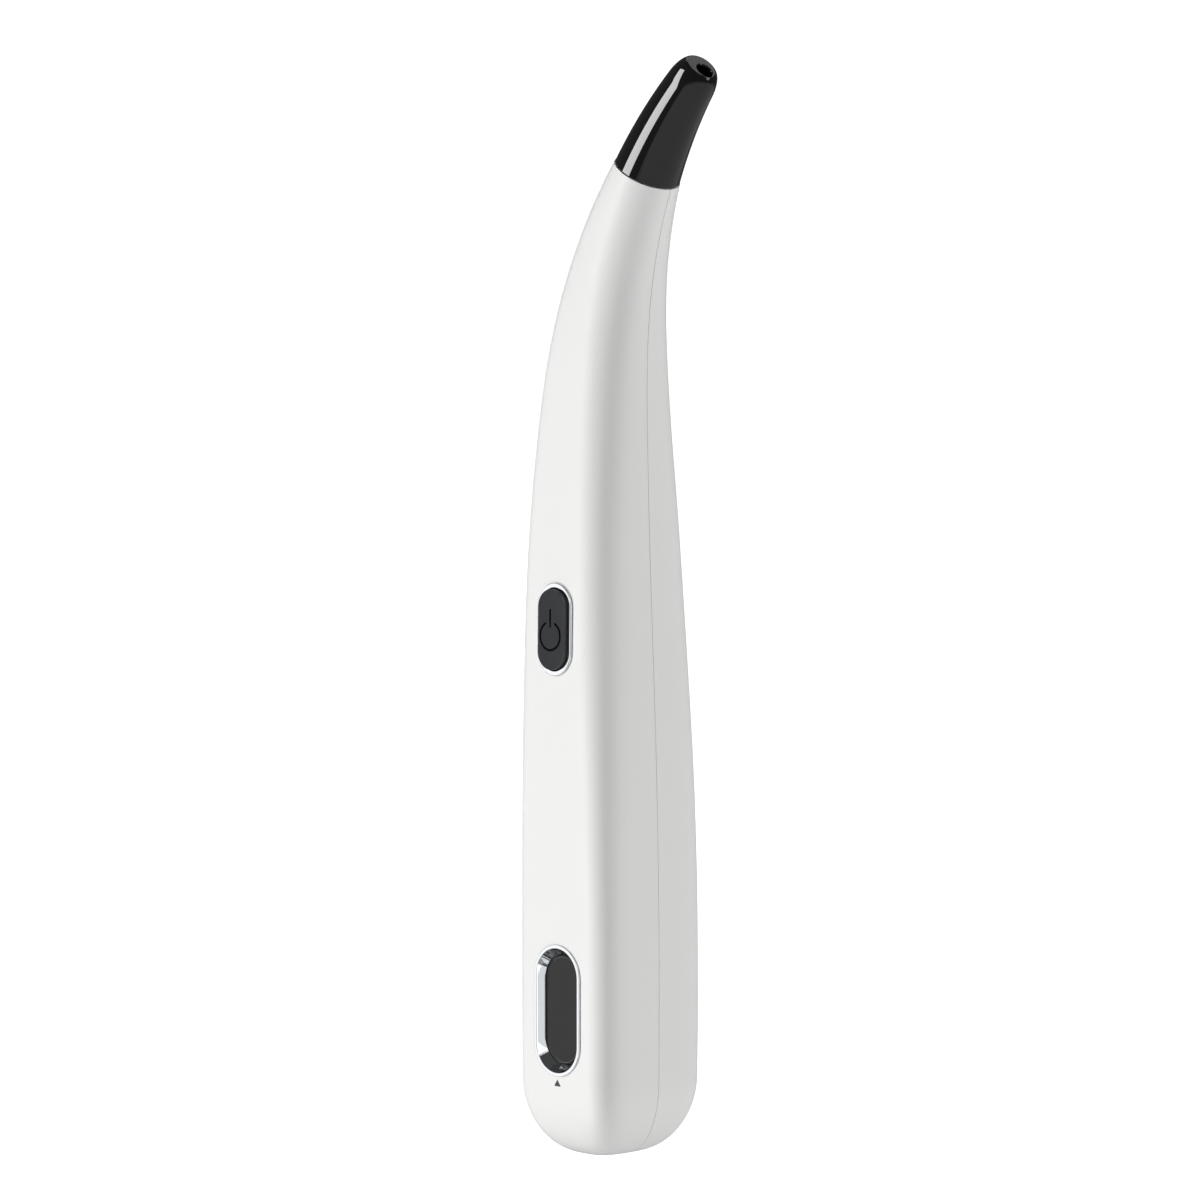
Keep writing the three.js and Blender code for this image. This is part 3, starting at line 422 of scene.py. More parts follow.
def skin_tree():
    """A closed skin round the spine: each point of the line is a ring, a soft-cornered box or an ellipse."""
    if "Wand Skin" in bpy.data.node_groups:
        return bpy.data.node_groups["Wand Skin"]
    tree, given = start_tree("Wand Skin", (
        ("Points Around", "NodeSocketInt"), ("Inset", "NodeSocketFloat"), ("Material", "NodeSocketMaterial")))
    mesh, row, cosine, sine = grid_of_rows(tree, given)
    size = add_node(tree, "GeometryNodeInputNamedAttribute", {"data_type": "FLOAT_VECTOR"}, {"Name": "size"})
    side = add_node(tree, "GeometryNodeInputNamedAttribute", {"data_type": "FLOAT_VECTOR"}, {"Name": "side"})
    spine = add_node(tree, "GeometryNodeInputPosition")
    size_here = row_value(tree, given, row, size)
    side_here = row_value(tree, given, row, side)
    spine_here = row_value(tree, given, row, spine)
    parts = add_node(tree, "ShaderNodeSeparateXYZ", None, {0: size_here})
    powers = []
    for value in (cosine, sine):
        bare = add_node(tree, MATH, "ABSOLUTE", {0: value})
        powers.append(add_node(tree, MATH, "POWER", {0: bare, 1: parts.outputs["Z"]}))
    total = add_node(tree, MATH, "ADD", {0: powers[0], 1: powers[1]})
    root = add_node(tree, MATH, "DIVIDE", {0: -1.0, 1: parts.outputs["Z"]})
    reach = add_node(tree, MATH, "POWER", {0: total, 1: root})
    offsets = []
    for axis, value in (("X", cosine), ("Y", sine)):
        half = add_node(tree, MATH, "SUBTRACT", {0: parts.outputs[axis], 1: given["Inset"]})
        held = add_node(tree, MATH, "MAXIMUM", {0: half, 1: 0.0})
        far = add_node(tree, MATH, "MULTIPLY", {0: held, 1: reach})
        offsets.append(add_node(tree, MATH, "MULTIPLY", {0: far, 1: value}))
    across = add_node(tree, VECTOR_MATH, "SCALE", {0: side_here, "Scale": offsets[0]})
    along = add_node(tree, "ShaderNodeCombineXYZ", None, {"Y": offsets[1]})
    moved = add_node(tree, VECTOR_MATH, "ADD", {0: across, 1: along})
    position = add_node(tree, VECTOR_MATH, "ADD", {0: moved, 1: spine_here})
    return end_tree(tree, mesh, position, given)


def pill_tree():
    """A profile swept round a pill-shaped outline.

    Of each profile point, x is outwards, y is how much the straight sides grow, and z is its height.
    """
    if "Pill Sweep" in bpy.data.node_groups:
        return bpy.data.node_groups["Pill Sweep"]
    tree, given = start_tree("Pill Sweep", (
        ("Points Around", "NodeSocketInt"), ("Width", "NodeSocketFloat"), ("Height", "NodeSocketFloat"),
        ("Material", "NodeSocketMaterial")))
    mesh, row, cosine, sine = grid_of_rows(tree, given)
    profile = add_node(tree, "GeometryNodeInputPosition")
    point = row_value(tree, given, row, profile)
    parts = add_node(tree, "ShaderNodeSeparateXYZ", None, {0: point})
    half = add_node(tree, MATH, "MULTIPLY", {0: given["Width"], 1: 0.5})
    radius = add_node(tree, MATH, "ADD", {0: half, 1: parts.outputs["X"]})
    held = add_node(tree, MATH, "MAXIMUM", {0: radius, 1: 0.0})
    spare = add_node(tree, MATH, "SUBTRACT", {0: given["Height"], 1: given["Width"]})
    straight = add_node(tree, MATH, "MULTIPLY", {0: spare, 1: 0.5})
    sign = add_node(tree, MATH, "SIGN", {0: sine})
    x = add_node(tree, MATH, "MULTIPLY", {0: held, 1: cosine})
    bend = add_node(tree, MATH, "MULTIPLY", {0: held, 1: sine})
    grown = add_node(tree, MATH, "ADD", {0: straight, 1: parts.outputs["Y"]})
    shift = add_node(tree, MATH, "MULTIPLY", {0: grown, 1: sign})
    y = add_node(tree, MATH, "ADD", {0: bend, 1: shift})
    position = add_node(tree, "ShaderNodeCombineXYZ", None, {"X": x, "Y": y, "Z": parts.outputs["Z"]})
    return end_tree(tree, mesh, position, given)


def link_mesh(name, mesh):
    piece = bpy.data.objects.new(name, mesh)
    bpy.context.scene.collection.objects.link(piece)
    return piece


def line_mesh(name, points, attributes=None):
    """A line of loose points, with a vector attribute for each name given."""
    mesh = bpy.data.meshes.new(name)
    mesh.from_pydata(points, [], [])
    for key, values in (attributes or {}).items():
        layer = mesh.attributes.new(key, "FLOAT_VECTOR", "POINT")
        layer.data.foreach_set("vector", [c for value in values for c in value])
    return mesh


def result_of(piece):
    """The plain mesh that an object's modifiers give; the object itself is removed."""
    evaluated = piece.evaluated_get(bpy.context.evaluated_depsgraph_get())
    mesh = bpy.data.meshes.new_from_object(evaluated)
    bpy.data.objects.remove(piece)
    return mesh


def grow(name, tree, line, values):
    """Runs a tree on a line of points and returns the result as a plain mesh, faces outward."""
    seed = link_mesh(name + "_seed", line)
    modifier = seed.modifiers.new("shape", "NODES")
    modifier.node_group = tree
    for item in tree.interface.items_tree:
        if item.in_out == "INPUT" and item.name in values:
            modifier[item.identifier] = values[item.name]
    mesh = result_of(seed)
    mesh.name = name
    face_outward(mesh)
    return mesh


def face_outward(mesh):
    """Turns the faces of a closed mesh outwards."""
    bm = bmesh.new()
    bm.from_mesh(mesh)
    bmesh.ops.dissolve_degenerate(bm, edges=bm.edges, dist=0.0001 * MM)
    if bm.calc_volume(signed=True) < 0:
        bmesh.ops.reverse_faces(bm, faces=bm.faces)
    bm.to_mesh(mesh)
    bm.free()


def carve(target, tool, operation):
    """Joins or cuts one closed mesh with another, and returns the result as a plain mesh."""
    body, other = link_mesh("body", target), link_mesh("tool", tool)
    modifier = body.modifiers.new("carve", "BOOLEAN")
    modifier.operation = operation
    modifier.solver = "MANIFOLD"
    modifier.object = other
    mesh = result_of(body)
    bpy.data.objects.remove(other)
    if not mesh.polygons:
        raise RuntimeError(f"{operation} with {tool.name} left nothing of {target.name}")
    return mesh


def mesh_from(bm, name):
    """Turns a finished bmesh into a plain mesh."""
    mesh = bpy.data.meshes.new(name)
    bm.to_mesh(mesh)
    bm.free()
    return mesh


def block_mesh(low, high):
    """A closed block between two corners, used as a cutting tool."""
    bm = bmesh.new()
    bmesh.ops.create_cube(bm, size=1)
    scale = Matrix.Diagonal([h - l for l, h in zip(low, high)] + [1])
    middle = Matrix.Translation([(h + l) / 2 for l, h in zip(low, high)])
    bmesh.ops.transform(bm, matrix=middle @ scale, verts=bm.verts)
    return mesh_from(bm, "block")


def arc_points(middle, radius, start, end, steps=8):
    """Points of an arc in a profile, from one angle to another, in degrees."""
    angles = [math.radians(start + (end - start) * i / steps) for i in range(steps + 1)]
    return [(middle[0] + radius * math.cos(a), middle[1] + radius * math.sin(a)) for a in angles]


def pill(name, width, height, profile, material, place, around=96):
    """A pill-shaped piece: a profile of (outwards, height) pairs in metres, swept and put in place.

    A third value at a point of the profile says how much the straight sides grow there.
    """
    line = line_mesh(name, [(x, sum(grown), z) for x, z, *grown in profile])
    mesh = grow(name, pill_tree(), line, {
        "Points Around": around, "Width": width, "Height": height, "Material": material})
    mesh.transform(place)
    return mesh


def rod(name, width, height, low, high, material, place, around=96):
    """A solid pill-shaped rod between two heights, used to cut or to add."""
    profile = [(-width, low), (0, low), (0, high), (-width, high)]
    return pill(name, width, height, profile, material, place, around)


def finish_piece(name, mesh, body, stands_for, sharp=35):
    """Names and links a finished mesh, marks its sharp edges, ties it to its body and hides the CAD node that
    it stands for.
    """
    mesh.name = name
    mesh.shade_smooth()
    mesh.set_sharp_from_angle(angle=math.radians(sharp))
    piece = link_mesh(name, mesh)
    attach(piece, body)
    if stands_for:
        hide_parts(stands_for)
    return piece


# ---------------------------------------------------------------- materials


def start_material(name, settings):
    """A material with one Principled shader, whose even values are set on its own sockets."""
    material = bpy.data.materials.new(name)
    material.use_nodes = True
    tree = material.node_tree
    tree.nodes.clear()
    shader = add_node(tree, "ShaderNodeBsdfPrincipled", None, settings)
    add_node(tree, "ShaderNodeOutputMaterial", None, {"Surface": shader})
    place = add_node(tree, "ShaderNodeTexCoord")
    return material, tree, shader, place.outputs["Object"]


def noise(tree, place, grain, detail=3.0, rough=0.5):
    """Noise whose grain is given in metres."""
    return add_node(tree, "ShaderNodeTexNoise", None, {
        "Vector": place, "Scale": 1 / grain, "Detail": detail, "Roughness": rough}).outputs["Fac"]


def tint(tree, shader, value, low, high):
    """Base colour that drifts between two near colours."""
    mix = add_node(tree, "ShaderNodeMix", {"data_type": "RGBA"}, {
        "Factor": value, 6: (*low, 1), 7: (*high, 1)})
    tree.links.new(mix.outputs[2], shader.inputs["Base Color"])


def vary_roughness(tree, shader, value, low, high):
    spread = add_node(tree, "ShaderNodeMapRange", None, {
        "Value": value, "From Min": 0.3, "From Max": 0.7, "To Min": low, "To Max": high})
    tree.links.new(spread.outputs[0], shader.inputs["Roughness"])


def relief(tree, shader, value, height, strength):
    """Surface relief of a real height in metres."""
    bump = add_node(tree, "ShaderNodeBump", None, {"Height": value, "Distance": height, "Strength": strength})
    tree.links.new(bump.outputs[0], shader.inputs["Normal"])


def shaded(colour, share):
    return [c * share for c in colour]


def moulded(name, colour, roughness, ior, drift, ripple, height, strength, wiped=0.15):
    """Injection-moulded plastic. The wave's length and height are in millimetres.

    The eye sees one even colour that drifts by a few per cent, a sheen whose roughness changes a little
    where hands wipe it, and a faint wave of the moulded skin in its reflections.
    """
    material, tree, shader, place = start_material(name, {"IOR": ior})
    cloud = noise(tree, place, 60 * MM, 1.0)
    tint(tree, shader, cloud, shaded(colour, drift), colour)
    wipe = noise(tree, place, 6 * MM, 4.0)
    vary_roughness(tree, shader, wipe, roughness * (1 - wiped), roughness * (1 + wiped))
    relief(tree, shader, noise(tree, place, ripple * MM, 1.0), height * MM, strength)
    return material


def plated(name, colour, roughness, grain=0.8, height=0.002):
    """Metal with a polished or plated skin: bright, mirror-like, with a trace of haze in its polish.

    The haze's grain and height are in millimetres.
    """
    material, tree, shader, place = start_material(name, {"Metallic": 1.0})
    haze = noise(tree, place, grain * MM, 3.0)
    tint(tree, shader, haze, shaded(colour, 0.96), colour)
    vary_roughness(tree, shader, haze, roughness * 0.8, roughness * 1.25)
    relief(tree, shader, haze, height * MM, 0.2)
    return material


def laminate(name, colour, weave):
    """Glass-fibre circuit board: a solder mask over a square weave, whose threads just show."""
    material, tree, shader, place = start_material(name, {"IOR": 1.5, "Roughness": 0.4})
    threads = add_node(tree, "ShaderNodeTexBrick", None, {
        "Vector": place, "Scale": 1 / (2 * weave), "Mortar Size": 0.04,
        "Color1": (*colour, 1), "Color2": (*shaded(colour, 0.92), 1), "Mortar": (*shaded(colour, 0.8), 1)})
    tree.links.new(threads.outputs["Color"], shader.inputs["Base Color"])
    relief(tree, shader, threads.outputs["Fac"], 0.01 * MM, 0.4)
    return material


def foamed(name, colour, cell):
    """Closed-cell foam: matt, with small round pits between the cell walls, whose colour darkens towards the
    bottom of each pit as painted shade.
    """
    material, tree, shader, place = start_material(name, {"Roughness": 0.9, "IOR": 1.45})
    cells = add_node(tree, "ShaderNodeTexVoronoi", None, {"Vector": place, "Scale": 1 / cell})
    # Painted shade: the colour darkens towards the bottom of each pit
    tint(tree, shader, cells.outputs["Distance"], shaded(colour, 0.6), colour)
    relief(tree, shader, cells.outputs["Distance"], 0.1 * MM, 0.6)
    return material


def cell_wrap(name, colour):
    """Shrink-wrapped PVC sleeve of a lithium cell: glossy, with fine rings where it has shrunk."""
    material, tree, shader, place = start_material(name, {"IOR": 1.53, "Roughness": 0.3})
    rings = add_node(tree, "ShaderNodeTexWave", {"bands_direction": "Z"}, {
        "Vector": place, "Scale": 1 / (9 * MM), "Distortion": 1.5, "Detail": 1.0})
    tint(tree, shader, rings.outputs["Fac"], shaded(colour, 0.9), colour)
    relief(tree, shader, rings.outputs["Fac"], 0.02 * MM, 0.4)
    return material


def optic(name, colour, roughness, transmission):
    """Clear optical polymer: light passes through it, and its polished skin mirrors the room."""
    material, tree, shader, place = start_material(name, {
        "IOR": 1.49, "Transmission Weight": transmission})
    haze = noise(tree, place, 1.5 * MM, 2.0)
    tint(tree, shader, haze, shaded(colour, 0.97), colour)
    vary_roughness(tree, shader, haze, roughness * 0.7, roughness * 1.4)
    return material


def phosphor(name, colour):
    """Phosphor layer of the LED under its silicone dome: yellow, grainy and matt."""
    material, tree, shader, place = start_material(name, {"Roughness": 0.45, "IOR": 1.41})
    grain = noise(tree, place, 0.12 * MM, 4.0)
    tint(tree, shader, grain, shaded(colour, 0.75), colour)
    relief(tree, shader, grain, 0.01 * MM, 0.5)
    return material


def exterior_materials():
    """Finishes of the outside, made once from the colours in the panel."""
    if "gloss_white_abs_moulded" in bpy.data.materials:
        return bpy.data.materials
    c = colours()
    # Acrylonitrile butadiene styrene from a polished mould: bright white, soft-edged reflections
    moulded("gloss_white_abs_moulded", list(c.shell), roughness=0.3, ior=1.5, drift=0.99, ripple=3.0,
            height=0.001, strength=0.1, wiped=0.04)
    # Polycarbonate from a mirror-polished mould: deep black with sharp reflections
    moulded("piano_black_polycarbonate", list(c.hood), roughness=0.04, ior=1.75, drift=0.8, ripple=4.0,
            height=0.001, strength=0.1, wiped=0.2)
    # Spark-textured ABS key: dark grey, satin, with a fine grain that softens its reflections
    moulded("satin_grey_abs_key", list(c.key), roughness=0.38, ior=1.5, drift=0.9, ripple=0.12,
            height=0.01, strength=0.5)
    # Colour of the faces inside the engraving: nearly black and quite matt
    moulded("engraving_near_black", list(c.engraving), roughness=0.5, ior=1.5, drift=0.8, ripple=0.2,
            height=0.01, strength=0.5)
    # Decorative chrome plate on ABS: a bright mirror
    plated("chrome_plated_trim", list(c.chrome), roughness=0.05)
    # Smoked acrylic window: dark grey, with a polished top skin
    moulded("smoked_acrylic_window", list(c.window), roughness=0.12, ior=1.49, drift=0.95, ripple=4.0,
            height=0.002, strength=0.2)
    # Pad-printed ink: mid grey, satin, a little uneven in density
    moulded("pad_printed_grey_ink", list(c.mark), roughness=0.45, ior=1.5, drift=0.85, ripple=0.3,
            height=0.004, strength=0.4)
    # Lens over the light guide: clear polymer that lets part of the light through, with its colour darkened
    # to nearly black as painted shade of the dark inside of the hood
    optic("clear_lens_with_painted_shade", hex_colour("1c1e22"), roughness=0.08, transmission=0.35)
    return bpy.data.materials


def inner_materials():
    """Finishes of the parts held inside, by the record's material slot."""
    made = {
        "clear_optic": optic("clear_guide_acrylic", hex_colour("e8eef2"), 0.04, 0.9),
        "aluminium_core": plated("turned_aluminium", hex_colour("b9bcc0"), 0.32, 0.25, 0.01),
        "green_laminate": laminate("solder_masked_fr4_green", hex_colour("1f5a3a"), 0.4 * MM),
        "white_laminate": laminate("solder_masked_fr4_white", hex_colour("e4e4df"), 0.4 * MM),
        "foam": foamed("closed_cell_foam", hex_colour("26272a"), 0.5 * MM),
        "cell_wrap": cell_wrap("shrink_wrapped_pvc_blue", hex_colour("2c6fb0")),
        "gold_contact": plated("gold_plated_brass", hex_colour("d9b25a"), 0.2, 0.3, 0.004),
        "screw_steel": plated("zinc_plated_steel", hex_colour("a9acb0"), 0.28, 0.2, 0.006),
        "phosphor": phosphor("led_phosphor_yellow", hex_colour("e8d36a")),
    }
    # Slot and name, colour, roughness, index of refraction, drift of the colour, ripple, height, strength
    for slot, name, digits, *numbers in (
            ("black_moulding", "glass_filled_nylon_black", "1a1a1b", 0.55, 1.53, 0.85, 0.5, 0.02, 0.6),
            ("ferrite", "sintered_ferrite", "3c3c3e", 0.7, 1.9, 0.8, 0.25, 0.03, 0.6),
            ("silicone", "moulded_silicone_rubber", "8d9194", 0.6, 1.41, 0.94, 0.6, 0.01, 0.4),
            ("red_insulation", "pvc_insulation_red", "b02a24", 0.42, 1.53, 0.9, 0.8, 0.01, 0.4),
            ("black_insulation", "pvc_insulation_black", "17181a", 0.42, 1.53, 0.85, 0.8, 0.01, 0.4)):
        made[slot] = moulded(name, hex_colour(digits), *numbers)
    return made


# ---------------------------------------------------------------- the wand's skins


def skin(name, distances, inset, around, material):
    """A closed skin of the wand through rings at these distances, `inset` inside the outside."""
    ends = (distances[0], *distances, distances[-1])
    points, side, size = [], [], []
    for i, s in enumerate(ends):
        points.append(spine_point(s))
        side.append(side_at(s))
        half_width, half_depth, squareness = section_at(s)
        closed = i in (0, len(ends) - 1)
        size.append((0, 0, squareness) if closed else (half_width, half_depth, squareness))
    line = line_mesh(name, points, {"side": side, "size": size})
    return grow(name, skin_tree(), line, {"Points Around": around, "Inset": inset, "Material": material})


def eased(start, end, count):
    """Distances that lie closer together near the start, as a rounding needs."""
    return [start + (end - start) * (1 - math.cos(math.pi / 2 * i / count)) for i in range(count + 1)]


def even(start, end, count):
    return [start + (end - start) * i / count for i in range(count + 1)]


# ---------------------------------------------------------------- operators, one for each piece or group


class CURING_OT_shells(bpy.types.Operator):
    """Build the white front and rear shells, with their openings, screw bosses and contact wells"""

    bl_idname = "curing_light.shells"
    bl_label = "White shells"

    def execute(self, context):
        z, c = sizes(), controls()
        white = exterior_materials()["gloss_white_abs_moulded"]
        top = z.shell_length
        base = eased(0, z.base_round_height, RINGS["base"])
        outside = skin("outside", base + even(z.base_round_height, top, RINGS["body"])[1:],
                       0, z.points_around, white)
        inner = even(z.base_wall, top + 1 * MM, RINGS["hollow"])
        hollow = skin("hollow", [min(s, top) for s in inner[:-1]], z.shell_wall, AROUND["hollow"], white)
        bore = z.seam_diameter - 2 * z.shell_wall
        neck = rod("neck", bore, bore, *NECK_BORE, white, spine_frame(top))
        casing = carve(carve(outside, hollow, "DIFFERENCE"), neck, "DIFFERENCE")
        casing = self.add_bosses(casing, white)
        for at, width, height in (
                (c.button_at, c.ring_width - RING_COVERS, c.ring_height - RING_COVERS),
                (c.display_at, c.bezel_width - BEZEL_COVERS, c.bezel_height - BEZEL_COVERS)):
            tool = rod("opening", width, height, -OPENING_DEPTH, OPENING_ABOVE, white, face_frame(at))
            casing = carve(casing, tool, "DIFFERENCE")
        casing = self.cut_wells(casing, white)
        reach, half = CUT_REACH, z.parting_gap / 2
        for name, node, low_y, high_y in (
                ("shell_front", "front_shell", -reach, z.parting_y - half),
                ("shell_rear", "rear_shell", z.parting_y + half, reach)):
            side = block_mesh((-reach, low_y, -reach), (reach, high_y, reach))
            share = carve(casing.copy(), side, "INTERSECT")
            share.materials.clear()
            share.materials.append(white)
            finish_piece(name, share, "casing", node)
        return {"FINISHED"}

    def add_bosses(self, casing, white):
        """Adds a boss with a pilot hole in front of each board screw."""
        board_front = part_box("main_board")[0].y
        for screw in INNER_PARTS["screw_steel"]:
            low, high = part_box(screw)
            middle = (low + high) / 2
            wall = BOSS_START - section_at(middle.z)[1]
            to_front = Matrix.Translation((middle.x, 0, middle.z)) @ Matrix.Rotation(math.pi / 2, 4, "X")
            for radius, start, end, operation in (
                    (BOSS_RADIUS, wall, board_front - BOSS_GAP, "UNION"),
                    (PILOT_RADIUS, wall + PILOT_STOP, board_front, "DIFFERENCE")):
                tool = rod("boss", 2 * radius, 2 * radius, -end, -start, white, to_front, AROUND["rod"])
                casing = carve(casing, tool, operation)
        return casing

    def cut_wells(self, casing, white):
        """Cuts the stepped wells that the charging contacts stand in."""
        drawn_in = WELL_SHANK - WELL_HEAD
        profile = [(-WELL_HEAD, -WELL_STEP), (0, -WELL_STEP), (0, WELL_STEP), (drawn_in, WELL_STEP),
                   (drawn_in, WELL_TOP), (-WELL_HEAD, WELL_TOP)]
        for node in INNER_PARTS["gold_contact"]:
            low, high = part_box(node)
            middle = (low + high) / 2
            well = pill("well", 2 * WELL_HEAD, 2 * WELL_HEAD, profile, white,
                        Matrix.Translation((middle.x, middle.y, 0)), AROUND["rod"])
            casing = carve(casing, well, "DIFFERENCE")
        return casing


class CURING_OT_hood(bpy.types.Operator):
    """Build the black light hood and the clear lens in its end"""

    bl_idname = "curing_light.hood"
    bl_label = "Black hood and lens"

    def execute(self, context):
        z = sizes()
        black = exterior_materials()["piano_black_polycarbonate"]
        start, end = z.shell_length + z.seam_gap, z.shell_length + z.hood_length
        round_start = end - z.tip_round_height
        edge = [start, start + 0.05 * MM]
        steps = RINGS["tip"]
        rounding = [round_start + z.tip_round_height * math.sin(math.pi / 2 * i / steps)
                    for i in range(1, steps + 1)]
        outside = skin("hood", edge + even(start + 0.3 * MM, round_start, RINGS["hood"]) + rounding,
                       0, AROUND["hood"], black)
        hollow = skin("hood_hollow", [start - 1 * MM] + even(start, end - z.exit_wall, RINGS["hood_hollow"]),
                      z.hood_wall, AROUND["hood_hollow"], black)
        bore = z.exit_bore
        exit_frame = spine_frame(end) @ Matrix.Translation((z.exit_shift, 0, 0))
        lip = 0.25 * MM
        mouth = arc_points((lip, -lip), lip, 180, 90)
        profile = [(-bore, -z.exit_wall - 1 * MM), (0, -z.exit_wall - 1 * MM), *mouth,
                   (lip, 2 * MM), (-bore, 2 * MM)]
        tool = pill("bore", 2 * bore, 2 * bore, profile, black, exit_frame)
        mesh = carve(carve(outside, hollow, "DIFFERENCE"), tool, "DIFFERENCE")
        mesh.materials.clear()
        mesh.materials.append(black)
        finish_piece("hood_black", mesh, "casing", "tip_hood")

        # The lens's near-black colour is painted shade of the hollow exit
        clear = exterior_materials()["clear_lens_with_painted_shade"]
        radius = bore - 0.2 * MM
        foot, edge_height, crown = -2.2 * MM, -1.5 * MM, 0.5 * MM
        sphere = (radius**2 + crown**2) / (2 * crown)
        widest = math.degrees(math.asin(radius / sphere))
        dome = arc_points((-radius, edge_height + crown - sphere), sphere, 90 - widest, 90, 16)
        chamfer = 0.1 * MM
        profile = [(-radius, foot), (-chamfer, foot), (0, foot + chamfer), *dome]
        lens = pill("lens", 2 * radius, 2 * radius, profile, clear, exit_frame, AROUND["lens"])
        finish_piece("lens_exit", lens, "casing", "exit_lens")
        return {"FINISHED"}


class CURING_OT_button(bpy.types.Operator):
    """Build the chrome ring and the dark power button with its engraved symbol"""

    bl_idname = "curing_light.button"
    bl_label = "Power button"

    def execute(self, context):
        c = controls()
        materials = exterior_materials()
        place = face_frame(c.button_at)
        wall, lip = 0.45 * MM, 0.45 * MM
        top, foot, round_edge = 0.4 * MM, -1.7 * MM, 0.17 * MM
        opening = -lip - wall
        profile = [
            (opening, foot), (-lip, foot), (-lip, LIP_START), (0, LIP_START),
            *arc_points((-round_edge, top - round_edge), round_edge, 0, 90),
            *arc_points((opening + round_edge, top - round_edge), round_edge, 90, 180),
            (opening, foot),
        ]
        ring = pill("ring", c.ring_width, c.ring_height, profile, materials["chrome_plated_trim"], place,
                    AROUND["button"])
        finish_piece("ring_button", ring, "casing", "button_ring")

        width = c.ring_width + 2 * (opening - c.key_gap)
        height = c.ring_height + 2 * (opening - c.key_gap)
        bevel, crown = 0.16 * MM, 0.04 * MM
        flange_bottom, flange_top = -2.7 * MM, -2.0 * MM
        flange_out = c.key_gap + 0.8 * MM
        shoulder = c.key_proud - crown - bevel
        profile = [
            (-width / 2, flange_bottom), (flange_out, flange_bottom), (flange_out, flange_top),
            (0, flange_top), *arc_points((-bevel, shoulder), bevel, 0, CROWN_FROM),
            (-width * CROWN_MIDWAY, c.key_proud - crown * 0.25), (-width / 2, c.key_proud),
        ]
        key_material = materials["satin_grey_abs_key"]
        key = pill("key", width, height, profile, key_material, Matrix.Identity(4), AROUND["button"])
        key = self.engrave(key, key_material, materials["engraving_near_black"])
        key.transform(place)
        finish_piece("key_power", key, "button", "power_button")
        return {"FINISHED"}

    def engrave(self, key, key_material, mark_finish):
        """Cuts the broken ring and the bar, and colours the faces of the cut near black."""
        c = controls()
        depth, drop, dark_stops_below_top = 0.25 * MM, 1.2 * MM, 0.09 * MM
        bar_foot, bar_head, steps = 0.55 * MM, 3.6 * MM, 72
        gap, half = math.radians(28), c.symbol_line / 2
        floor = c.key_proud - depth
        start, end = math.pi / 2 + gap, math.pi / 2 - gap + math.tau
        path = []
        for angle in even(start, end, steps):
            outward = Vector((math.cos(angle), math.sin(angle), 0))
            path.append((outward * c.symbol_radius - Vector((0, drop, 0)), outward * half))
        bar = [(Vector((0, y, 0)), Vector((half, 0, 0))) for y in (bar_foot, bar_head)]
        for route in (path, bar):
            key = carve(key, self.groove(route, floor, c.key_proud + 1 * MM), "DIFFERENCE")
        key.materials.clear()
        key.materials.append(key_material)
        key.materials.append(mark_finish)
        # Faces inside the cut, up to a little under the top, get the near-black colour
        reach = c.symbol_radius + c.symbol_line
        for face in key.polygons:
            middle = face.center
            on_symbol = abs(middle.x) < reach and abs(middle.y) < reach + drop
            under_top = floor - 0.02 * MM < middle.z < c.key_proud - dark_stops_below_top
            face.material_index = 1 if on_symbol and under_top else 0
        return key

    def groove(self, route, floor, top):
        """A closed strip along a route of (middle, half width) pairs, with a round at each end."""
        outline = [middle + half for middle, half in route]
        outline += self.round_end(route[-1][0], route[-1][1], (route[-1][0] - route[-2][0]).normalized())
        outline += [middle - half for middle, half in reversed(route)]
        outline += self.round_end(route[0][0], -route[0][1], (route[0][0] - route[1][0]).normalized())
        bm = bmesh.new()
        ground = [bm.verts.new((p.x, p.y, floor)) for p in outline]
        sky = [bm.verts.new((p.x, p.y, top)) for p in outline]
        bm.faces.new(ground)
        bm.faces.new(sky)
        for i in range(len(outline)):
            j = (i + 1) % len(outline)
            bm.faces.new((ground[i], ground[j], sky[j], sky[i]))
        bmesh.ops.recalc_face_normals(bm, faces=bm.faces)
        bmesh.ops.triangulate(bm, faces=bm.faces)
        mesh = mesh_from(bm, "groove")
        face_outward(mesh)
        return mesh

    def round_end(self, middle, half, forward):
        steps = 8
        angles = [math.pi * i / steps for i in range(1, steps)]
        return [middle + half * math.cos(a) + forward * half.length * math.sin(a) for a in angles]


